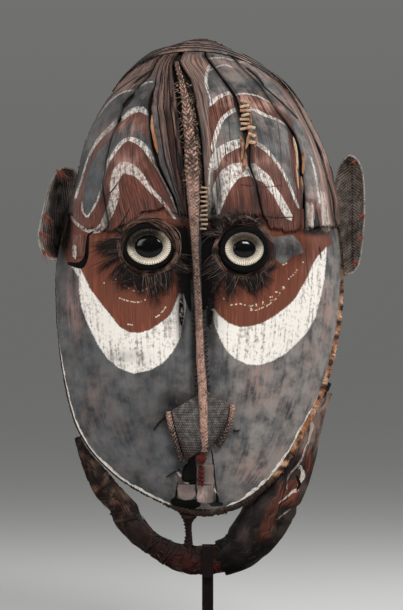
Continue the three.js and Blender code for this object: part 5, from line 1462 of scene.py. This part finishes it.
# Wing: straight across from root to edge, bulging as 1 - s ^ 0.85; the loops are |sin| by |sin|
def buildNoseWing(side):
    wing, look = nose[side], nose
    s, t = np.meshgrid(evenly(62), evenly(110))
    root, edge = catmull(wing["root"], t), catmull(wing["edge"], t)
    root[..., 0] -= wing["turn"] * 5.0
    rise = catmull(look["rise"], t)
    spot = mix(root, edge, s[..., None])
    wide = np.linalg.norm(edge - root, axis=-1)
    u, v = s * wide / look["loop"], spot[..., 1] / look["loop"]
    loops = 1.3 * np.abs(np.sin(np.pi * (u + 0.5 * (np.floor(v) % 2)))) * np.abs(np.sin(np.pi * v))
    lift = mix(rise, 5, s ** 0.85) + loops
    outer = over(spot[..., 0], spot[..., 1], lift)
    inner = over(spot[..., 0], spot[..., 1], lift - loops - 3)
    dark = 0.75 * smooth(s, 0.62, 1.0) * smooth(t, 0.1, 0.6) + 0.7 * smooth(t, 0.5,
        1.0) + 0.5 * (1 - smooth(s, 0, 0.12))
    fields = {"tint": stacked(0, np.clip(dark, 0, 1), 0)}
    makePiece("netted_wing_" + side, shell(outer, inner, np.stack([u, v], -1), fields), "knit", "nose_wing_" + side)

    t = evenly(130)
    x, z = catmull(wing["edge"], t).T
    path = over(x + wing["turn"] * 6.2, z - 2, 6.6)
    plait = lambda length, turn: 1.9 * np.abs(np.sin(np.pi * length / 6.5 + np.abs(turn - np.pi / 2))) ** 0.7 - 1.0
    top = wing["edge"][0][1]
    cord = tinted(tubes(path, 4.4, 18, bump=plait), lambda x, z: (
        0.6 * smooth(z, top - 40, top - 8), 0.75 * (1 - smooth(z, top - 70, top - 30))))
    makePiece("plaited_edge_" + side, cord, "plait", "nose_edge_" + side)


# Beads in a spiral ball and in two rows, and three twigs beside the nose
def buildNoseBits():
    rng = np.random.default_rng(41)
    heart = over(-11, 381, 18)
    k = np.arange(26)
    ring = np.stack([8.6 * np.cos(k * 2.4) * np.sqrt(k / 26), -4.5 + 6.5 * k / 26 + rng.uniform(-0.6, 0.6, 26),
        8.2 * np.sin(k * 2.4) * np.sqrt(k / 26)], -1)
    makePiece("bead_cluster", balls(heart + ring, 2.3), "bead", "nose_bead_cluster")
    rows = np.arange(5)
    spots = np.concatenate([over(-14 + 4.4 * col + rng.uniform(-0.7, 0.7, 5), 366 - 7.2 * rows - 2.0 * col,
        9.0 + rng.uniform(-0.6, 0.6, 5)) for col in (0, 1)])
    makePiece("bead_rows", balls(spots, 3.7), "bead", "nose_bead_string")
    twigs = {"upper_left": [(-76, 453), (-86, 444), (-95, 431)], "lower_left": [(-49, 361), (-60, 356), (-73, 347)],
        "right": [(45, 431), (50, 429), (56, 431)]}
    for name, line in twigs.items():
        t = evenly(24)
        x, z = catmull(line, t).T
        path = over(x, z, 3.6)
        makePiece("twig_" + name, tubes(path, 1.7 - 0.5 * t, 8,
            bump=lambda n, a: 0.25 * np.sin(n * 1.3) * np.cos(a)), "binding", "nose_twig_" + name)


buildNoseWing("left")
buildNoseWing("right")
buildNoseBits()
print("stage: nose built")

# The hoop round the rim, bound with cane


# The hoop's middle at share t of the rim: moved in by half the sheet along the head's normal
def hoopAt(t):
    t = np.asarray(t, float) % 1
    side = np.where(t < 0.5, 1, -1)
    v = np.where(t < 0.5, 2 * t, 2 - 2 * t)
    middle = catmull(rimPoints, t, True) - 2 * normalAt(side * 1.5, v)
    return middle, hoopRadius(v, side)


# Bands laid round the hoop or the jaw: a closed ring whose section is a flat half-oval, leaning by slant
def bandParts(centres, alongs, radii, widths, thick, slants, flat, seed, around=16):
    rng = np.random.default_rng(seed)
    across, deep = crossings(alongs)
    a = circle(around)
    b = circle(6)
    wobble = 1 + 0.05 * np.sin(2 * a + rng.uniform(0, 6.3, (len(radii), 1)))
    out = (radii[:, None] * wobble)[:, :, None] + thick * np.sin(b)[None, None]
    shift = widths[:, None, None] / 2 * np.cos(b)[None, None] + (slants[:, None] * np.cos(a)[None])[..., None]
    ring = centres[:, None, None] + across[:, None, None] * (out * np.cos(a)[None, :, None])[..., None] \
        + deep[:, None, None] * (out * flat * np.sin(a)[None, :, None])[..., None] \
        + alongs[:, None, None] * shift[..., None]
    uv = np.zeros((len(radii), around + 1, 7, 2))
    uv[..., 0] = (np.arange(7) / 6 * 3)[None, None] + rng.uniform(0, 90, len(radii))[:, None, None]
    uv[..., 1] = (np.arange(around + 1) / around * 40)[None, :, None]
    return surface(ring, uv, True)


# Pale and dark shares round the hoop: dark at the chin, the left side and the crown, tan down the right cheek
def rimTint(x, z):
    patch = noiseAt(x / 11 + 40, z / 9 + 20, 3)
    cheek = smooth(x, 90, 130) * smooth(z, 325, 360) * (1 - smooth(z, 640, 760))
    return 0.7 * cheek * smooth(patch, 0.5, 0.72), np.clip(1 - cheek * smooth(patch, 0.18, 0.45), 0, 0.97)


# Rim: a lumpy tube round the hoop's middle, bands laid round it, and broken ends that stand off it
def buildRim():
    look = rimHoop
    t = np.arange(look["steps"]) / look["steps"]
    centre, size = hoopAt(t)
    lumps = lambda length, turn: 0.6 * np.abs(np.sin(length / 3.1)) - 0.4 + 1.5 * (noiseAt(length / 7, turn * 1.5, 3)
        - 0.4)
    core = tubes(centre, size - 0.9, look["sides"], closed=True, bump=lumps)
    rng = np.random.default_rng(51)
    right = np.concatenate([np.sort(rng.uniform(0.0, 0.235, 150)), np.sort(rng.uniform(0.93, 1.0, 26))])
    crown = np.sort(rng.uniform(0.25, 0.74, 60))
    where = np.concatenate([right, crown])
    middle, radius = hoopAt(where)
    ahead, _ = hoopAt(where + 0.002)
    widths = np.where(where < 0.25, rng.uniform(2.0, 7.0, len(where)), 3.0)
    bands = bandParts(middle, unit(ahead - middle), radius - 0.2, widths, 0.9, rng.uniform(-2.5, 2.5, len(where)),
        1.0, 52)
    # Broken ends stand off the hoop down the right cheek
    count = 120
    start = rng.uniform(0.02, 0.22, count)
    root, size = hoopAt(start)
    ahead, _ = hoopAt(start + 0.004)
    along = unit(ahead - root)
    turn = rng.uniform(2.4, 5.2, count)[:, None]
    outward = crossings(along)[0] * np.cos(turn) + np.array([0, 1, 0.0]) * np.sin(turn)
    s = evenly(6)[None, :, None]
    reach = rng.uniform(4, 13, (count, 1, 1))
    lean = rng.uniform(-1.2, 1.2, (count, 1, 1))
    path = root[:, None] + outward[:, None] * (size[:, None, None] * 0.9 + 2.4 * s) \
        + along[:, None] * reach * s * lean + outward[:, None] * reach * 0.1 * s ** 2
    ends = tubes(path, 0.9 - 0.5 * s[..., 0], 5, 0.5)
    makePiece("bound_hoop", [tinted(part, rimTint) for part in (core, bands, ends)], "cane", "rim_hoop")


# The jaw: a cane loop wrapped in fibre and bark

jawLoop = np.array([
    (-233, -33, 414, 5, 5), (-222, -38, 388, 9, 7), (-205, -40, 358, 16, 10), (-184, -42, 326, 22, 14),
    (-160, -44, 299, 21, 16), (-139, -44, 264, 23, 18), (-107, -43, 231, 20, 18), (-73, -41, 210, 21, 19),
    (-46, -40, 199, 25, 19), (-14, -40, 196, 25, 19), (17, -40, 198, 25, 19), (52, -40, 213, 28, 19),
    (78, -38, 243, 33, 18), (105, -34, 284, 34, 16), (138, -29, 328, 26, 13), (167, -24, 393, 18, 9),
    (191, -16, 459, 10, 7), (216, -5, 512, 7, 5)], float)
jaw = {"steps": 320, "round": 36, "bands": 26, "fibres": 420, "sheathFrom": 0.6, "swell": [1, 6, 10, 10, 8, 6, 3]}


# The loop at share t: middle, half width, half depth, and directions along, across and to the back
def loopFrames(t):
    row = catmull(jawLoop, t)
    along = catmull(jawLoop[:, :3], np.clip(t + 0.002, 0, 1)) - catmull(jawLoop[:, :3], np.clip(t - 0.002, 0, 1))
    return row[..., :3], row[..., 3], row[..., 4], unit(along), *crossings(unit(along))


# Loop: an oval section along the curve; slanting folds and fine fibres are sines of length and angle
def buildLoop():
    look = jaw
    t = evenly(look["steps"])
    centre, wide, thick, along, across, deep = loopFrames(t)
    a = circle(look["round"])
    length = t * 1000
    fold = np.sin(length[:, None] / 9 + 2 * a + 2 * noiseAt(length[:, None] / 40, a[None], 2))
    fibre = noiseAt(length[:, None] / 18 + 2 * a, a[None] * 9, 3) - 0.5
    big = noiseAt(length[:, None] / 55, a[None] / 2 + 4, 5) - 0.5
    knob = 0.34 * np.exp(-((length[:, None] - 262) / 24) ** 2 - ((np.mod(a[None] + 0.4, 6.283) - 0.4) / 0.9) ** 2)
    bump = 0.03 * fold + 0.15 * fibre + 0.16 * big + knob
    scale = (1 + bump) * 0.96
    ring = centre[:, None] + across[:, None] * (wide[:, None] * scale * np.cos(a))[..., None] \
        + deep[:, None] * (thick[:, None] * scale * np.sin(a))[..., None]
    uv = stacked(np.linspace(0, 90, look["round"] + 1)[None], length[:, None])
    body = surface(ring, uv)
    rng = np.random.default_rng(61)
    where = np.sort(np.append(rng.uniform(0.03, 0.36, 6), rng.uniform(0.36, 0.66, look["bands"] - 6)))
    centre, wide, thick, along, across, deep = loopFrames(where)
    bands = bandParts(centre, along, wide * 0.985, rng.uniform(3, 9, len(where)), 1.3,
        rng.uniform(-9, 9, len(where)), (thick / wide)[:, None, None], 62, around=28)
    # Loose fibres lie along the loop and stand off it at their ends
    count = look["fibres"]
    begin = rng.uniform(0.01, 0.97, count)
    s = evenly(6)[None]
    reach = rng.uniform(0.02, 0.07, (count, 1)) * rng.choice([-1, 1], (count, 1))
    centre, wide, thick, along, across, deep = loopFrames(np.clip(begin[:, None] + reach * s, 0, 1))
    turn = rng.uniform(0, 6.3, (count, 1)) + 0.8 * s * rng.normal(0, 1, (count, 1))
    stand = 0.99 + 0.16 * s ** 3 * rng.random((count, 1)) ** 2
    path = centre + across * (wide * stand * np.cos(turn))[..., None] + deep * (thick * stand * np.sin(turn))[..., None]
    fibres = tubes(path, 0.75 * (1 - 0.7 * s ** 2), 4)
    arm = lambda x, z: smooth(-x, 60, 150) * smooth(z, 230, 330)
    red = lambda x, z: 0.95 * np.exp(-((x - 18) / 8) ** 2 - ((z - 184) / 8) ** 2) + 0.4 * noiseAt(x / 9, z / 7, 5) \
        * np.exp(-((x + 40) / 50) ** 2 - ((z - 192) / 20) ** 2)
    ruddy = lambda x, z: (0.5 * arm(x, z) * smooth(noiseAt(x / 12, z / 12, 4), 0.4, 0.8), 0.7 * smooth(noiseAt(
        x / 16, z / 13, 6), 0.45, 0.75), red(x, z))
    light = lambda x, z: (0.7 * smooth(noiseAt(x / 14, z / 12, 2), 0.6, 0.85), 0.5)
    makePiece("jaw_wrapped", [tinted(body, ruddy), tinted(bands, ruddy), tinted(fibres, light)], "binding",
        "jaw_loop")


sheathLines = [([(157, 320), (150, 317), (141, 309), (128, 299)], [7, 4, 3, 1.5], 0.95),
    ([(167, 362), (170, 346), (162, 330)], [3, 9, 4], 0.9), ([(145, 285), (135, 278), (126, 270)], [3, 3, 1.5], 0.6),
    ([(182, 447), (187, 434), (183, 419), (180, 405)], [3, 7, 4, 2], 0.85),
    ([(176, 401), (166, 372), (145, 347), (141, 326)], [2, 3, 3, 2], 0.6),
    ([(190, 452), (196, 470), (203, 486)], [3, 6, 4], 0.7)]


# Sheath: the loop's section swollen towards its outside, between -70 and 190 degrees, with torn edges
def buildSheath():
    t = evenly(130)[:, None]
    s = evenly(56)[None]
    start = jaw["sheathFrom"] + 0.02 * (noiseAt(s * 9, 0, 4) - 0.5)
    where = mix(start, 0.985, t)
    centre, wide, thick, along, across, deep = loopFrames(where)
    flatAlong = unit(along * np.array([1, 0, 1.0]))
    outward = np.stack([flatAlong[..., 2], 0 * flatAlong[..., 0], -flatAlong[..., 0]], -1)
    a = np.radians(mix(-70 + 26 * (noiseAt(t * 22, 0, 5) - 0.5), 190 + 40 * (noiseAt(t * 17, 3, 6) - 0.5), s))
    swell = np.interp(t, evenly(7), jaw["swell"]) * np.maximum(np.cos(a), 0)
    rough = 2.6 * (noiseAt(s * 12, t * 14, 1) - 0.5) + 1.4 * (noiseAt(s * 40, t * 9, 2) - 0.5)
    rough = rough - 4.5 * np.exp(-((t - 0.53) / 0.012) ** 2) * smooth(s, 0.0, 0.1) * (1 - smooth(s, 0.35, 0.5))
    place = lambda extra: centre + outward * ((wide + swell + extra) * np.cos(a))[..., None] \
        + np.array([0, -1.0, 0]) * ((thick + extra) * np.sin(a))[..., None]
    outer, inner = place(5.2 + rough), place(2.6 + np.minimum(rough, 0))
    x, z = outer[..., 0], outer[..., 2]
    shape = x.shape
    grey = noiseAt(x / 26 + 4, z / 30, 5)
    streak = strokeField(x, z, [([(96, 236), (108, 262), (116, 288), (132, 318), (150, 336)], [20, 26, 20, 9, 5], 1.0)])
    fields = {"paint": np.stack([0.35 * np.maximum(60 * (0.2 - grey), streak[..., 2] - streak[..., 1]) - 0.6,
        np.full(shape, -30.0), 0 * x], -1), "stroke": strokeField(x, z, sheathLines),
        "crack": strokeField(x, z, [([(159, 344), (164, 332), (160, 321)], [3, 6, 3], 1.0),
        ([(150, 300), (140, 290)], [2], 0.8), ([(110, 250), (128, 290), (140, 330)], [2], 0.8)]),
        "tint": np.stack([0.25 * noiseAt(x / 30, z / 40, 6) + 2.4 * smooth(z, 370, 450),
        0.4 * noiseAt(x / 14, z / 18, 7) + 0.5 * (1 - smooth(z, 195, 265)) + 0.4 * smooth(s, 0.7, 0.88)
        * (1 - smooth(z, 330, 400)), 0 * x], -1), "dots": np.full(shape + (3,), 50.0)}
    uv = stacked(s * 80, where * 1000)
    makePiece("jaw_spathe", shell(outer, inner, uv, fields), "sheath", "jaw_sheath")


# Strut: a short lumpy rope from the jaw up to the chin
def buildStrut():
    t = evenly(90)
    row = catmull(np.array([(-35, -42, 222, 9), (-34, -50, 240, 6.2), (-35, -60, 256, 6.4), (-35, -66, 268, 9),
        (-34, -70, 279, 17)], float), t)
    rope = lambda length, turn: 0.9 * np.sin(length * 0.9 + 3 * turn) + 1.2 * (noiseAt(length / 4, turn * 2, 5) - 0.5)
    makePiece("mouth_rope", tubes(row[:, :3], row[:, 3] * 0.94, 22, bump=rope), "binding", "mouth_strut")


buildRim()
buildLoop()
buildSheath()
buildStrut()
print("stage: rim and jaw built")

# Ears

ears = {
    "left": {"side": -1, "inner": (-251, 43, 815), "tilt": 0.064, "spine": -276, "shade": 1.45, "rim": 0.17,
    "reach": 1.6, "tassels": [(-271, 893), (-294, 811), (-300, 780), (-295, 747)],
    "outline": [(-246, 900), (-236, 886), (-242, 850), (-248, 805), (-253, 762), (-262, 741), (-277, 732),
    (-292, 735), (-303, 753), (-306, 778), (-301, 808), (-293, 845), (-282, 878), (-266, 899)]},
    "right": {"side": 1, "inner": (232, 43, 815), "tilt": 0.165, "spine": 263, "shade": 0.25, "rim": 0.075,
    "reach": 0.7, "tassels": [(267, 911), (280, 811), (277, 771), (268, 728)],
    "outline": [(255, 924), (240, 903), (232, 875), (228, 835), (225, 785), (226, 745), (234, 714), (248, 704),
    (263, 709), (274, 727), (280, 765), (284, 813), (284, 867), (279, 901), (269, 918)]},
}
earLook = {"lean": 0.72, "depth": 26, "wall": 5, "coils": 10, "around": 330, "pitch": 5.4}


# Ear: rings that shrink from the outline to a short upright line; depth is 26 * (1 - f^2) ^ 0.6 behind the plane
def buildEar(name):
    ear, look = ears[name], earLook
    edge = catmull(ear["outline"], np.arange(look["around"]) / look["around"], True)
    middle = edge.mean(0)
    ix, iy, iz = ear["inner"]
    plane = lambda x, z: iy - look["lean"] * ear["side"] * (x - ix) + ear["tilt"] * (z - iz)
    half = (edge[:, 1].max() - edge[:, 1].min()) / 2
    spine = np.stack([middle[0] + 0 * edge[:, 0], middle[1] + 0.72 * half
        * np.tanh((edge[:, 1] - middle[1]) / (0.6 * half))], -1)

    # The ring at share f of the way from the middle line to the outline
    def ring(f, depth):
        centre = mix(middle, spine, smooth(f, 0, 0.25))
        spot = mix(centre, edge, f)
        return np.stack([spot[:, 0], plane(spot[:, 0], spot[:, 1]) + depth, spot[:, 1]], -1)

    bowl = lambda f: look["depth"] * max(1 - f * f, 0) ** 0.6
    inside = np.concatenate([[0.02], np.linspace(0.06, 0.9, 68)])
    coil = lambda f: 0.9 * abs(math.sin(math.pi * look["coils"] * f)) ** 0.6
    rows = [ring(f, bowl(min(f / 0.9, 1))) for f in inside]
    rows += [ring(0.925, -1.2), ring(0.95, -1.8), ring(0.98, -1.2)]
    outside = np.concatenate([np.linspace(1.0, 0.06, 24), [0.02]])
    rows += [ring(f, bowl(f) + look["wall"] + 0.6 * coil(f)) for f in outside]
    surf = np.array(rows)
    spread = np.concatenate([inside, [0.925, 0.95, 0.98], outside])
    count = look["around"]
    # Loop rows: on the left they follow the outline, on the right they slant down from a dark spine
    away = np.abs(surf[..., 0] - ear["spine"])
    lines = spread[:, None] * look["coils"] * 0.95 + 0 * away if name == "left" else \
        (surf[..., 2] + 0.8 * away) / look["pitch"]
    along = np.arange(count)[None] / count * 150 + 0 * away if name == "left" else away / 3.0
    inner = np.zeros(len(spread))
    inner[:len(inside)] = 1
    loops = np.abs(np.sin(np.pi * lines)) ** 0.6 * (0.7 + 0.3 * np.abs(np.sin(np.pi * along)))
    surf[..., 1] -= 1.3 * loops * inner[:, None] * smooth(spread, 0.02, 0.15)[:, None]
    uv = np.pad(stacked(lines, along), ((0, 1), (0, 0), (0, 0)), "edge")
    uv = np.concatenate([uv, uv[:, :1]], 1)
    if name == "left":
        uv[:, -1, 1] = 150
    outerSide = ear["side"] * (surf[..., 0] - middle[0]) > -6
    pale = (np.abs(spread - 0.95) < ear["rim"])[:, None] * np.where(outerSide, 1.0, 0.3)
    shade = ear["shade"] * (1 - smooth(spread, 0.35, 0.9))[:, None] * inner[:, None] + 0 * away
    shade = np.maximum(shade, 0.9 * np.exp(-(away / 1.8) ** 2) * inner[:, None] * (name == "right"))
    fields = {"tint": stacked(pale, shade, 0)}
    makePiece("basket_ear_" + name, surface(surf, uv, False, fields), "basket", "ear_" + name)

    for i, (x, z) in enumerate(ear["tassels"]):
        rng = np.random.default_rng(70 + i + 10 * len(name))
        count = 22
        root = np.array([x, plane(x, z) - 4.0, z])
        s = evenly(7)[None]
        drop = rng.uniform(7, 17, (count, 1)) * ear["reach"]
        inward = -ear["side"] * rng.uniform(-0.1, 1.0, (count, 1))
        px = root[0] + rng.normal(0, 1.3, (count, 1)) + inward * drop * 0.95 * s
        pz = root[2] + rng.normal(0, 1.3, (count, 1)) + 2 * np.sin(np.pi * s) - drop * s ** 1.3 * rng.uniform(0.1,
            1.1, (count, 1))
        py = np.minimum(root[1], plane(px, pz) - 2.2) - rng.uniform(0, 4, (count, 1)) * np.sin(np.pi * s * 0.7)
        strands = tubes(np.stack([px, py, pz], -1), 0.42 * (1 - 0.5 * s), 4)
        bright = tinted(strands, lambda x, z: (0.7 * noiseAt(x / 2, z / 5, 3), 0.45 * noiseAt(x / 3, z / 3, 4)))
        knot = balls([root + (0, -1, 0), root + (1.5 * ear["side"], 0, 2)], 1.9)
        makePiece(f"red_tassel_{name}_{i + 1}", [bright, knot], "tassel", f"ear_tassel_{name}_{i + 1}")


for name in ears:
    buildEar(name)
print("stage: ears built")

# Stand, floor, light and camera

for name in ("stand_base", "stand_post"):
    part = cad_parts[name]
    part.data.materials.clear()
    part.data.materials.append(looks["steel"])

studio = {"floor": 60.0, "floorTone": (208, 208, 206), "airTone": (226, 226, 224), "air": 0.3, "horizon": 0.64,
    "swell": 0.35, "lights": [("key", (1.2, -2.7, 3.0), 1.0, 112.0), ("fill", (-2.3, -2.6, 1.9), 1.5, 44.0),
    ("edgeLeft", (-2.0, 1.0, 1.9), 1.0, 16.0), ("edgeRight", (2.2, 0.9, 1.7), 1.0, 34.0)]}


# Floor, four lamps turned towards the mask's middle, and an air that brightens with height
def buildStudio():
    half = studio["floor"] / 2
    mesh = bpy.data.meshes.new("floor")
    mesh.from_pydata([(-half, -half, 0), (half, -half, 0), (half, half, 0), (-half, half, 0)], [], [(0, 1, 2, 3)])
    newMaterial("paleFloor")
    mesh.materials.append(finishMaterial(studio["floorTone"], 0.9))
    floor = bpy.data.objects.new("floor", mesh)
    bpy.context.scene.collection.objects.link(floor)
    for name, place, size, power in studio["lights"]:
        light = bpy.data.lights.new(name, "AREA")
        light.size, light.energy = size, power
        lamp = bpy.data.objects.new(name, light)
        bpy.context.scene.collection.objects.link(lamp)
        lamp.location = place
        aim = np.array([0.0, 0.0, 0.7]) - place
        lamp.rotation_euler = (math.atan2(math.hypot(aim[0], aim[1]), -aim[2]), 0, math.atan2(-aim[0], aim[1]))
    world = bpy.context.scene.world = bpy.data.worlds.new("air")
    world.use_nodes = True
    making["tree"] = world.node_tree
    sky = world.node_tree.nodes["Background"].inputs
    rise = split(wire("TexCoord", "Generated"))[2]
    link(studio["airTone"], sky[0])
    link(ramp(rise, 0.0, studio["swell"], studio["air"] * studio["horizon"], studio["air"]), sky[1])
    bpy.context.scene.view_settings.view_transform = "Standard"


camera = {"place": (-0.011, -5.0, 0.651), "height": 1.098, "sensor": 36.0}


# The lens that makes a view of this height fill the frame at the camera's distance
def buildCamera():
    data = bpy.data.cameras.new("camera")
    data.sensor_width = camera["sensor"]
    data.lens = camera["sensor"] * -camera["place"][1] / camera["height"]
    data.clip_end = 200
    eye = bpy.data.objects.new("camera", data)
    bpy.context.scene.collection.objects.link(eye)
    eye.location = camera["place"]
    eye.rotation_euler = (math.pi / 2, 0, 0)
    bpy.context.scene.camera = eye


buildStudio()
buildCamera()
print("stage: studio ready")
